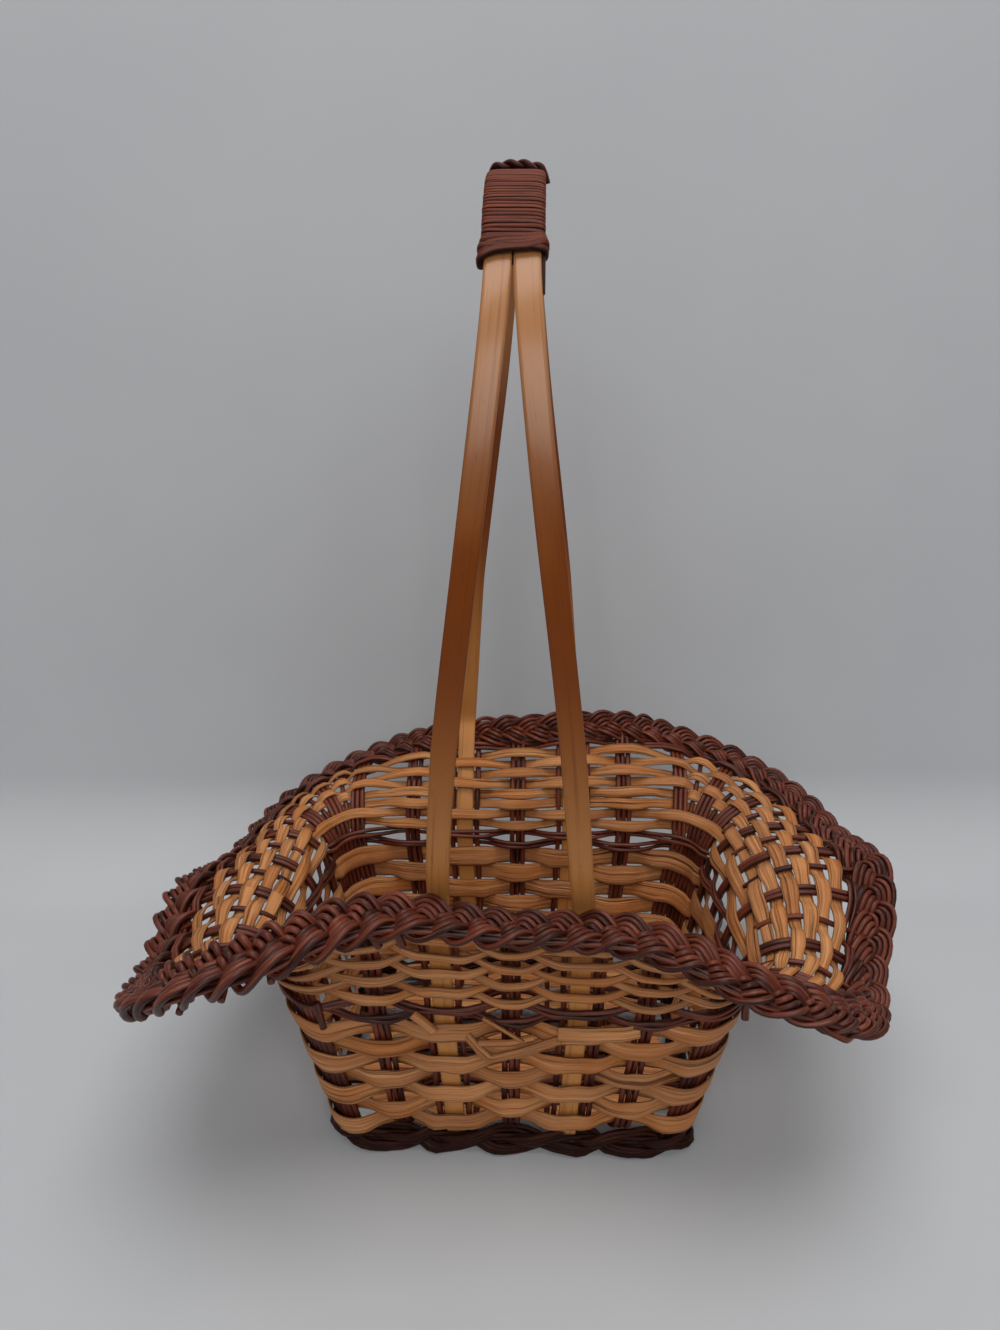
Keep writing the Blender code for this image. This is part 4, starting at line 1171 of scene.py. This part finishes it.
SPLINT_COLOUR = (0.64, 0.272, 0.095, 1.0)
SPLINT_DEEP_SHARES = (0.8125, 0.636, 0.421)
SPLINT_AGED = (0.44, 0.176, 0.064, 1.0)
SPLINT_PALE_FIBRE = (0.79, 0.42, 0.19, 1.0)
SPLINT_DARK_FIBRE = (0.24, 0.070, 0.016, 1.0)
SPLINT_CRACK = (0.085, 0.021, 0.006, 1.0)
# Painted shade along both edges of a splint, standing in for the shadow of its neighbours
SPLINT_EDGE_PAINTED_SHADE = (0.10, 0.026, 0.007, 1.0)
REED_COLOUR = (0.180, 0.037, 0.017, 1.0)
REED_DEEP_SHARES = (0.544, 0.486, 0.471)
REED_STAIN = (0.024, 0.004, 0.002, 1.0)
# Pale streaks along the grain: partly wear, partly painted highlight
REED_WEAR_AND_HIGHLIGHT = (0.33, 0.110, 0.060, 1.0)
# Painted shade along both sides of a reed, where its neighbours would shadow it
REED_SIDE_PAINTED_SHADE = (0.018, 0.003, 0.001, 1.0)
# Dark stain and painted shade on the reeds next to the floor, in the foot and under the base
REED_GRIME_AND_SHADE = (0.014, 0.003, 0.001, 1.0)
STRIP_COLOUR = (0.56, 0.235, 0.065, 1.0)
STRIP_DEEP_SHARES = (0.339, 0.174, 0.031)
STRIP_CROWN = (0.42, 0.180, 0.062, 1.0)
STRIP_CLOUD = (0.40, 0.150, 0.030, 1.0)
STRIP_GRAIN = (0.14, 0.033, 0.005, 1.0)
STRIP_PORE = (0.07, 0.018, 0.006, 1.0)
CANE_COLOUR = (0.21, 0.046, 0.018, 1.0)
CANE_DEEP_SHARES = (0.619, 0.478, 0.444)
CANE_GROOVE = (0.030, 0.005, 0.002, 1.0)
# Painted shade on the lower turns of the binding
CANE_PAINTED_SHADE = (0.050, 0.009, 0.004, 1.0)
# Painted shade along both sides of the cane, standing in for the shadow between windings
CANE_SIDE_PAINTED_SHADE = (0.012, 0.002, 0.001, 1.0)
PAPER_COLOUR = (0.585, 0.597, 0.612, 1.0)
PAPER_DEEP_SHARES = (0.957, 0.958, 0.964)

# Noise along a piece: size along it and round its section, shift, detail and roughness
SPLINT_FIBRE = (16, 26, 0.0, 4.0, 0.70)
SPLINT_CRACKS = (8, 17, 5.0, 3.0, 0.60)
SPLINT_PATCHES = (24, 1.2, 9.0, 2.0, 0.55)
SPLINT_AGE = (7, 0.4, 2.0, 1.0, 0.55)
REED_GROOVES = (35, 11, 0.0, 3.0, 0.65)
REED_STAINS = (30, 1.2, 4.0, 3.0, 0.55)
REED_TONES = (6, 0.5, 8.0, 1.0, 0.55)
STRIP_FIBRE = (9, 26, 0.0, 4.0, 0.60)
STRIP_CLOUDS = (14, 1.5, 3.0, 2.0, 0.55)
STRIP_PORES = (90, 50, 6.0, 2.0, 0.55)
CANE_GROOVES = (40, 8, 0.0, 3.0, 0.60)
CANE_TONES = (30, 0.8, 7.0, 2.0, 0.55)
PAPER_MOTTLE = (6.0, 3.0)

# Values of a noise where the deeper tone ends and the main one begins
SPLINT_TONE_ENDS = (0.38, 0.62)
REED_TONE_ENDS = (0.38, 0.62)
CANE_TONE_ENDS = (0.35, 0.65)
PAPER_TONE_ENDS = (0.3, 0.7)

# Values of a noise, and the roughness at each
SPLINT_ROUGHNESS = (0.3, 0.7, 0.48, 0.72)
REED_ROUGHNESS = (0.35, 0.7, 0.34, 0.60)
STRIP_ROUGHNESS = (0.3, 0.7, 0.30, 0.42)
CANE_ROUGHNESS = (0.3, 0.7, 0.42, 0.56)
PAPER_ROUGHNESS = (0.3, 0.7, 0.60, 0.72)

# Depth of each relief, and what each noise adds to it
SPLINT_RELIEF = 0.8 * MM
REED_RELIEF = 0.6 * MM
STRIP_RELIEF = 0.3 * MM
CANE_RELIEF = 0.5 * MM
FIBRE_RELIEF_SHARE = 0.9
CRACK_RELIEF_ENDS = (0.54, 0.68)
GROOVE_RELIEF_SHARE = 0.8
STAIN_RELIEF_SHARE = 0.3
GRAIN_RELIEF_SHARE = 0.5
PORE_RELIEF_SHARE = 0.3
POLISH_SHARE = 0.35
GLOSS_SHARE = 0.5

# Heights over the floor, in metres, between which a finish or a painted shade changes
# Grime and painted shade on the reeds: heights where it begins and where it is full
GRIME_AND_SHADE_HEIGHTS = (0.030, 0.008)
POLISH_HEIGHTS = (0.02, 0.06)
VARNISH_HEIGHTS = (0.15, 0.25)
CROWN_HEIGHTS = (0.28, 0.35)
GLOSS_HEIGHTS = (0.27, 0.34)
# Painted shade on the binding's lower turns: heights where it begins and where it is full
BINDING_SHADE_HEIGHTS = (0.376, 0.360)

# Layers of paint, lowest first: pattern, its values where the layer begins and is full, strength, colour
SPLINT_LAYERS = (
    ("age", (0.42, 0.58), 0.70, SPLINT_AGED),
    ("fibre", (0.48, 0.34), 0.65, SPLINT_PALE_FIBRE),
    ("fibre", (0.52, 0.66), 0.70, SPLINT_DARK_FIBRE),
    ("crack", (0.61, 0.68), 0.85, SPLINT_CRACK),
    # Painted shade along both edges of each splint
    ("edge", (0.90, 1.0), 0.60, SPLINT_EDGE_PAINTED_SHADE),
)
REED_LAYERS = (
    ("stain", (0.46, 0.64), 0.85, REED_STAIN),
    # Pale streaks along the grain, partly wear and partly painted highlight
    ("groove", (0.54, 0.68), 0.60, REED_WEAR_AND_HIGHLIGHT),
    # Painted shade along both sides of each reed
    ("edge", (0.72, 1.0), 0.80, REED_SIDE_PAINTED_SHADE),
    # Dark stain and painted shade next to the floor
    ("rise", GRIME_AND_SHADE_HEIGHTS, 0.85, REED_GRIME_AND_SHADE),
)
STRIP_LAYERS = (
    ("rise", CROWN_HEIGHTS, 1.0, STRIP_CROWN),
    ("cloud", (0.45, 0.7), 0.25, STRIP_CLOUD),
    ("grain", (0.52, 0.7), 0.50, STRIP_GRAIN),
    ("pore", (0.68, 0.76), 0.60, STRIP_PORE),
)
CANE_LAYERS = (
    ("groove", (0.54, 0.68), 0.60, CANE_GROOVE),
    # Painted shade, darker towards the lower ends of the binding
    ("rise", BINDING_SHADE_HEIGHTS, 0.60, CANE_PAINTED_SHADE),
    # Painted shade along both sides of each winding
    ("edge", (0.50, 0.94), 0.97, CANE_SIDE_PAINTED_SHADE),
)


class Out:
    """A value in a shader, with arithmetic that adds the nodes for it."""

    def __init__(self, shade, socket):
        self.shade = shade
        self.socket = socket

    def maths(self, operation, *others):
        inputs = {i: value for i, value in enumerate((self, *others))}
        return self.shade.node("ShaderNodeMath", {"operation": operation}, inputs)

    def __add__(self, other):
        return self.maths("ADD", other)

    def __sub__(self, other):
        return self.maths("SUBTRACT", other)

    def __mul__(self, other):
        return self.maths("MULTIPLY", other)

    def __rsub__(self, other):
        return self.shade.node("ShaderNodeMath", {"operation": "SUBTRACT"}, {0: other, 1: self})

    __radd__ = __add__
    __rmul__ = __mul__

    def ramp(self, low, high, to_low=0.0, to_high=1.0):
        """Smooth step from one value to another as this one goes from low to high."""
        inputs = {0: self, 1: low, 2: high, 3: to_low, 4: to_high}
        return self.shade.node("ShaderNodeMapRange", {"interpolation_type": "SMOOTHSTEP"}, inputs)


class Shade:
    """A material's nodes."""

    def __init__(self, name):
        self.material = bpy.data.materials.new(name)
        self.material.use_nodes = True
        self.nodes = self.material.node_tree.nodes
        self.links = self.material.node_tree.links
        self.nodes.clear()

    def node(self, kind, settings=None, inputs=None, output=0):
        """Adds a node: its settings first, then the values or links of its sockets."""
        made = self.nodes.new(kind)
        for key, value in (settings or {}).items():
            setattr(made, key, value)
        for key, value in (inputs or {}).items():
            if isinstance(value, Out):
                self.links.new(value.socket, made.inputs[key])
            else:
                made.inputs[key].default_value = value
        return Out(self, made.outputs[output]) if made.outputs else None

    def noise(self, at, scale, detail, roughness=0.55):
        """Cloudy noise from 0 to 1, mostly near a half."""
        inputs = {"Vector": at, "Scale": scale, "Detail": detail, "Roughness": roughness}
        return self.node("ShaderNodeTexNoise", None, inputs)

    def fibres(self, along, across, shift, detail, roughness):
        """Noise on the UV of metres along and share round the section, each scaled apart."""
        uv = self.node("ShaderNodeUVMap", {"uv_map": "along"})
        inputs = {"Vector": uv, "Scale": (along, across, 1.0), "Location": (shift, shift, shift)}
        return self.noise(self.node("ShaderNodeMapping", None, inputs), 1.0, detail, roughness)

    def place(self):
        """The point in metres, in the object's own frame."""
        return self.node("ShaderNodeTexCoord", output=3)

    def rise(self):
        """Height over the floor in metres."""
        return self.node("ShaderNodeSeparateXYZ", None, {0: self.place()}, output=2)

    def edge(self):
        """0 along the middle of a reed's or a splint's face, 1 along its two sides: the mask for painted
        shade along the sides.
        """
        uv = self.node("ShaderNodeUVMap", {"uv_map": "along"})
        share = self.node("ShaderNodeSeparateXYZ", None, {0: uv}, output=1)
        return (share * math.tau).maths("COSINE").maths("ABSOLUTE")

    def blend(self, share, first, second):
        """Colour mix: first at share 0, second at share 1."""
        inputs = {0: share, 6: first, 7: second}
        return self.node("ShaderNodeMix", {"data_type": "RGBA"}, inputs, output=2)

    def layered(self, paint, layers, **patterns):
        """Lays colours over a base one by one, each as strongly as its pattern says."""
        for name, ends, strength, colour in layers:
            paint = self.blend(patterns[name].ramp(*ends) * strength, paint, colour)
        return paint

    def finish(self, paint, roughness, height, bump_distance, **constants):
        """The finished material; a constant's name is its socket's, with _ for each space."""
        inputs = {"Strength": 1.0, "Distance": bump_distance, "Height": height}
        bump = self.node("ShaderNodeBump", None, inputs)
        inputs = {"Base Color": paint, "Roughness": roughness, "Normal": bump}
        inputs.update({key.replace("_", " "): value for key, value in constants.items()})
        surface_out = self.node("ShaderNodeBsdfPrincipled", None, inputs)
        self.node("ShaderNodeOutputMaterial", None, {"Surface": surface_out})
        return self.material


def deeper(paint, shares):
    """Darker tone of a colour, by a share for each of its red, green and blue."""
    return (*(value * share for value, share in zip(paint, shares)), 1.0)


@cache
def pale_splint():
    """Fibrous tan splint: fine lines along it, a few dark cracks, lighter and browner patches, and painted
    shade along its two edges.
    """
    shade = Shade("pale_splint_fibre")
    main = tuple(bpy.context.scene.basket_finish.splint)
    fibre = shade.fibres(*SPLINT_FIBRE)
    crack = shade.fibres(*SPLINT_CRACKS)
    patch = shade.fibres(*SPLINT_PATCHES)
    tan = shade.blend(patch.ramp(*SPLINT_TONE_ENDS), deeper(main, SPLINT_DEEP_SHARES), main)
    tan = shade.layered(tan, SPLINT_LAYERS, age=shade.fibres(*SPLINT_AGE), fibre=fibre, crack=crack,
                        edge=shade.edge())
    height = 1.0 - fibre * FIBRE_RELIEF_SHARE - crack.ramp(*CRACK_RELIEF_ENDS)
    return shade.finish(tan, fibre.ramp(*SPLINT_ROUGHNESS), height, SPLINT_RELIEF,
                        Specular_IOR_Level=0.3)


@cache
def dark_reed():
    """Stained reed: dark red-brown, paler along worn lines painted partly as highlights, painted shade along
    its sides, nearly black next to the floor with grime and painted shade.
    """
    shade = Shade("dark_reed_stain")
    main = tuple(bpy.context.scene.basket_finish.reed)
    groove = shade.fibres(*REED_GROOVES)
    stain = shade.fibres(*REED_STAINS)
    tone = shade.fibres(*REED_TONES)
    rise = shade.rise()
    brown = shade.blend(tone.ramp(*REED_TONE_ENDS), deeper(main, REED_DEEP_SHARES), main)
    brown = shade.layered(brown, REED_LAYERS, stain=stain, groove=groove, edge=shade.edge(), rise=rise)
    height = groove * GROOVE_RELIEF_SHARE + stain * STAIN_RELIEF_SHARE
    polish = rise.ramp(*POLISH_HEIGHTS) * POLISH_SHARE
    return shade.finish(brown, stain.ramp(*REED_ROUGHNESS), height, REED_RELIEF,
                        Specular_IOR_Level=0.14, Coat_Weight=polish, Coat_Roughness=0.32)


@cache
def handle_strip():
    """Varnished cane: lighter tan in the weave, deep orange-brown up the rise, paler near the crown."""
    shade = Shade("handle_strip_varnish")
    main = tuple(bpy.context.scene.basket_finish.strip)
    grain = shade.fibres(*STRIP_FIBRE)
    cloud = shade.fibres(*STRIP_CLOUDS)
    pore = shade.fibres(*STRIP_PORES)
    rise = shade.rise()
    honey = shade.blend(rise.ramp(*VARNISH_HEIGHTS), main, deeper(main, STRIP_DEEP_SHARES))
    honey = shade.layered(honey, STRIP_LAYERS, rise=rise, cloud=cloud, grain=grain, pore=pore)
    height = grain * GRAIN_RELIEF_SHARE + pore * PORE_RELIEF_SHARE
    gloss = rise.ramp(*GLOSS_HEIGHTS) * GLOSS_SHARE
    return shade.finish(honey, cloud.ramp(*STRIP_ROUGHNESS), height, STRIP_RELIEF,
                        Specular_IOR_Level=0.22, Coat_Weight=gloss, Coat_Roughness=0.18)


@cache
def binding_cane():
    """Red-brown split cane with dark grooves, painted shade along each cane's sides, and painted shade on the
    lower turns towards both ends of the binding, where its cross turns are.
    """
    shade = Shade("binding_cane_stain")
    main = tuple(bpy.context.scene.basket_finish.cane)
    groove = shade.fibres(*CANE_GROOVES)
    tone = shade.fibres(*CANE_TONES)
    red = shade.blend(tone.ramp(*CANE_TONE_ENDS), deeper(main, CANE_DEEP_SHARES), main)
    red = shade.layered(red, CANE_LAYERS, groove=groove, rise=shade.rise(), edge=shade.edge())
    return shade.finish(red, tone.ramp(*CANE_ROUGHNESS), groove, CANE_RELIEF, Specular_IOR_Level=0.2)


LOOKS = {"pale_splint": pale_splint, "dark_reed": dark_reed, "handle_strip": handle_strip,
         "binding_cane": binding_cane}

# Studio

FLOOR_BACK = 0.165
SWEEP_RADIUS = 0.060
BACKDROP_TOP = 1.3
HALF_ROOM = 1.6
FLOOR_FRONT = 1.2
BACK_SLANT = 0.045
SWEEP_STEPS = 12
WORLD_COLOUR = (0.93, 0.96, 1.0, 1.0)
WORLD_STRENGTH = 0.20

# Place, target, size, watts and tint of each lamp
LAMPS = {
    "ceiling_light": ((0.05, -0.15, 1.5), (0, 0, 0), (1.1, 0.8), 10.2, (1.0, 0.99, 0.975)),
    "front_light": ((0.1, -1.4, 1.25), (0, 0, 0.1), (1.2, 0.8), 9.4, (1.0, 0.99, 0.98)),
}


def backdrop_paint():
    """Matt pale grey-blue paper with a faint mottle, clear when seen from behind."""
    shade = Shade("backdrop_paper")
    main = tuple(bpy.context.scene.basket_finish.paper)
    mottle = shade.noise(shade.place(), *PAPER_MOTTLE)
    grey = shade.blend(mottle.ramp(*PAPER_TONE_ENDS), deeper(main, PAPER_DEEP_SHARES), main)
    paper = shade.node("ShaderNodeBsdfPrincipled", None, {
        "Base Color": grey, "Roughness": mottle.ramp(*PAPER_ROUGHNESS), "Specular IOR Level": 0.3})
    behind = shade.node("ShaderNodeNewGeometry", output=6)
    clear = shade.node("ShaderNodeBsdfTransparent")
    seen = shade.node("ShaderNodeMixShader", None, {0: behind, 1: paper, 2: clear})
    shade.node("ShaderNodeOutputMaterial", None, {"Surface": seen})
    return shade.material


def build_stage():
    """Floor and wall as one sheet, joined by a quarter circle; the wall runs a little aslant."""
    angle = np.linspace(0, math.pi / 2, SWEEP_STEPS + 1)
    curve = FLOOR_BACK - SWEEP_RADIUS + SWEEP_RADIUS * np.sin(angle)
    y = np.concatenate([[-FLOOR_FRONT], curve, [FLOOR_BACK]])
    z = np.concatenate([[0.0], SWEEP_RADIUS * (1 - np.cos(angle)), [BACKDROP_TOP]])
    x = np.array([-HALF_ROOM, HALF_ROOM])
    points = np.stack([np.tile(x, len(y)), np.repeat(y, 2), np.repeat(z, 2)], -1)
    points[2:, 1] += points[2:, 0] * BACK_SLANT
    i = np.arange(len(y) - 1) * 2
    faces = np.stack([i, i + 1, i + 3, i + 2], 1)
    mesh = bpy.data.meshes.new("studio_sweep")
    mesh.from_pydata(points.tolist(), [], faces.tolist())
    mesh.materials.append(backdrop_paint())
    mesh.shade_smooth()
    sheet = bpy.data.objects.new("studio_sweep", mesh)
    bpy.context.scene.collection.objects.link(sheet)


def build_lights(level):
    """Two soft lamps and an even world, all times one level."""
    for name, (place, target, size, watts, tint_of_lamp) in LAMPS.items():
        data = bpy.data.lights.new(name, "AREA")
        data.shape = "RECTANGLE"
        data.size, data.size_y = size
        data.energy = watts * level
        data.color = tint_of_lamp
        lamp = bpy.data.objects.new(name, data)
        lamp.location = place
        lamp.visible_camera = False
        lamp.rotation_euler = (Vector(target) - Vector(place)).to_track_quat("-Z", "Y").to_euler()
        bpy.context.scene.collection.objects.link(lamp)
    world = bpy.data.worlds.new("studio_world")
    world.use_nodes = True
    air = world.node_tree.nodes["Background"]
    air.inputs["Color"].default_value = WORLD_COLOUR
    air.inputs["Strength"].default_value = WORLD_STRENGTH * level
    bpy.context.scene.world = world


def build_camera():
    """The photograph's view: turned, tipped down and rolled, its lens worked out from pixels."""
    data = bpy.data.cameras.new("photo_camera")
    data.sensor_fit = "AUTO"
    data.sensor_width = SENSOR_WIDTH
    data.lens = data.sensor_width * FOCAL_PIXELS / PHOTO_HEIGHT
    camera = bpy.data.objects.new("photo_camera", data)
    turn = Matrix.Rotation(math.radians(CAMERA_YAW_DEGREES), 4, "Z")
    tip = Matrix.Rotation(math.radians(90 - CAMERA_PITCH_DEGREES), 4, "X")
    roll = Matrix.Rotation(math.radians(CAMERA_ROLL_DEGREES), 4, "Z")
    camera.matrix_world = Matrix.Translation(Vector(CAMERA_PLACE) + Vector(ORIGIN)) @ turn @ tip @ roll
    bpy.context.scene.collection.objects.link(camera)
    bpy.context.scene.camera = camera
    bpy.context.scene.view_settings.view_transform = "Standard"


# Add-on

LEAST_LENGTH = 0.2 * MM
MOST_LENGTH = 100 * MM


def length(name, description, default):
    """A length in metres, shown in the scene's unit."""
    return bpy.props.FloatProperty(name=name, description=description, default=default,
                                   min=LEAST_LENGTH, max=MOST_LENGTH, precision=4,
                                   subtype="DISTANCE", unit="LENGTH")


def tint(name, description, default):
    """A colour with its alpha."""
    return bpy.props.FloatVectorProperty(name=name, description=description, default=default, size=4,
                                         min=0.0, max=1.0, subtype="COLOR")


class BasketWeaveSettings(bpy.types.PropertyGroup):
    """Sizes of the rows, wales and corner stakes"""
    row_width: length("Body row width", "Width of the pale rows under the waist", BODY_ROW_WIDTH)
    row_lift: length("Body row lift", "How far a body row bulges off the wall between two stakes", BODY_LIFT)
    wale_reed: length("Wale reed", "Thickness of each reed in a wale", WALE_REED)
    stake_reed: length("Corner reed", "Thickness of each reed in a corner stake", STAKE_REED)


class BasketPlaitSettings(bpy.types.PropertyGroup):
    """Sizes and counts of the two plaits"""
    border_reed: length("Border reed", "Thickness of each reed in the border's plait", BORDER_REED)
    foot_reed: length("Foot reed", "Thickness of each reed in the foot's plait", FOOT_REED)
    border_plaits: bpy.props.IntProperty(
        name="Border plaits", description="Full plaits in one trip round the border", default=BORDER_PLAITS,
        min=6, max=60)
    foot_plaits: bpy.props.IntProperty(
        name="Foot plaits", description="Full plaits in one trip round the foot", default=FOOT_PLAITS,
        min=3, max=30)


class BasketBindingSettings(bpy.types.PropertyGroup):
    """Size and turns of the cane round the crown"""
    cane_width: length("Cane width", "Width of the cane wound round the crown", CANE_WIDTH)
    turns: bpy.props.IntProperty(
        name="Turns", description="Turns of cane between the two ends of the binding", default=BINDING_TURNS,
        min=10, max=120)


class BasketFinishSettings(bpy.types.PropertyGroup):
    """Colours of the finishes and the level of the light"""
    splint: tint("Splints", "Main colour of the pale splints", SPLINT_COLOUR)
    reed: tint("Reeds", "Main colour of the dark reeds", REED_COLOUR)
    strip: tint("Handle strips", "Colour of the handle strips inside the weave", STRIP_COLOUR)
    cane: tint("Binding", "Main colour of the cane round the crown", CANE_COLOUR)
    paper: tint("Floor", "Main colour of the floor and the wall behind", PAPER_COLOUR)
    light_level: bpy.props.FloatProperty(
        name="Light level", description="Brightness of every lamp, as a share", default=1.0, min=0.1, max=4.0,
        subtype="FACTOR")


GROUPS = {"basket_weave": BasketWeaveSettings, "basket_plaits": BasketPlaitSettings,
          "basket_binding": BasketBindingSettings, "basket_finish": BasketFinishSettings}


class BASKET_OT_weave_body(bpy.types.Operator):
    """Weave the pale body rows over and under the stakes"""
    bl_idname = "basket.weave_body"
    bl_label = "Weave body rows"

    def execute(self, context):
        build_body_rows(context.scene.basket_weave)
        return {"FINISHED"}


class BASKET_OT_twist_wales(bpy.types.Operator):
    """Twist the dark wales round the waist and under the border"""
    bl_idname = "basket.twist_wales"
    bl_label = "Twist wales"

    def execute(self, context):
        build_wales(context.scene.basket_weave)
        return {"FINISHED"}


class BASKET_OT_weave_brim(bpy.types.Operator):
    """Weave the narrow rows of the brim"""
    bl_idname = "basket.weave_brim"
    bl_label = "Weave brim rows"

    def execute(self, context):
        build_brim_rows()
        return {"FINISHED"}


class BASKET_OT_set_stakes(bpy.types.Operator):
    """Set the dark reeds that run up the wall and under the base"""
    bl_idname = "basket.set_stakes"
    bl_label = "Set stakes"

    def execute(self, context):
        build_through_stakes()
        build_handle_reeds()
        build_corner_stakes(context.scene.basket_weave)
        build_by_stakes()
        return {"FINISHED"}


class BASKET_OT_lay_base(bpy.types.Operator):
    """Lay the pale splints of the base"""
    bl_idname = "basket.lay_base"
    bl_label = "Lay base"

    def execute(self, context):
        build_base_splints()
        return {"FINISHED"}


class BASKET_OT_plait_edges(bpy.types.Operator):
    """Plait the border and the foot"""
    bl_idname = "basket.plait_edges"
    bl_label = "Plait border and foot"

    def execute(self, context):
        build_border(context.scene.basket_plaits)
        build_foot(context.scene.basket_plaits)
        return {"FINISHED"}


class BASKET_OT_bend_handle(bpy.types.Operator):
    """Bend the two flat strips of the handle"""
    bl_idname = "basket.bend_handle"
    bl_label = "Bend handle strips"

    def execute(self, context):
        build_handle_strips()
        return {"FINISHED"}


class BASKET_OT_bind_handle(bpy.types.Operator):
    """Bind the crown of the handle and tie its rope"""
    bl_idname = "basket.bind_handle"
    bl_label = "Bind handle"

    def execute(self, context):
        build_binding(context.scene.basket_binding)
        build_binding_ends()
        build_crown_tie()
        return {"FINISHED"}


class BASKET_OT_fray_ends(bpy.types.Operator):
    """Add the broken splints and cut reed ends"""
    bl_idname = "basket.fray_ends"
    bl_label = "Fray ends"

    def execute(self, context):
        build_loose_ends()
        return {"FINISHED"}


class BASKET_OT_set_stage(bpy.types.Operator):
    """Set the floor, the lights and the camera"""
    bl_idname = "basket.set_stage"
    bl_label = "Set stage"

    def execute(self, context):
        build_stage()
        build_lights(context.scene.basket_finish.light_level)
        build_camera()
        return {"FINISHED"}


OPERATORS = (BASKET_OT_weave_body, BASKET_OT_twist_wales, BASKET_OT_weave_brim, BASKET_OT_set_stakes,
             BASKET_OT_lay_base, BASKET_OT_plait_edges, BASKET_OT_bend_handle, BASKET_OT_bind_handle,
             BASKET_OT_fray_ends, BASKET_OT_set_stage)


class BASKET_PT_panel(bpy.types.Panel):
    """Sizes, colours and building steps of the basket"""
    bl_label = "Basket"
    bl_space_type = "VIEW_3D"
    bl_region_type = "UI"
    bl_category = "Basket"

    def draw(self, context):
        for key, group in GROUPS.items():
            box = self.layout.box()
            for entry in group.__annotations__:
                box.prop(getattr(context.scene, key), entry)
        for step in OPERATORS:
            self.layout.operator(step.bl_idname)


CLASSES = (*GROUPS.values(), *OPERATORS, BASKET_PT_panel)


def register():
    """Adds the classes and hangs each group of settings on the scene."""
    for made in CLASSES:
        bpy.utils.register_class(made)
    for key, group in GROUPS.items():
        setattr(bpy.types.Scene, key, bpy.props.PointerProperty(type=group))


def unregister():
    """Takes the settings and the classes away again."""
    for key in GROUPS:
        delattr(bpy.types.Scene, key)
    for made in reversed(CLASSES):
        bpy.utils.unregister_class(made)


def main():
    """Registers the add-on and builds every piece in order."""
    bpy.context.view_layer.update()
    register()
    bpy.ops.basket.weave_body()
    bpy.ops.basket.twist_wales()
    bpy.ops.basket.weave_brim()
    bpy.ops.basket.set_stakes()
    bpy.ops.basket.lay_base()
    bpy.ops.basket.plait_edges()
    bpy.ops.basket.bend_handle()
    bpy.ops.basket.bind_handle()
    bpy.ops.basket.fray_ends()
    bpy.ops.basket.set_stage()
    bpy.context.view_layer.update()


if __name__ == "__main__":
    main()
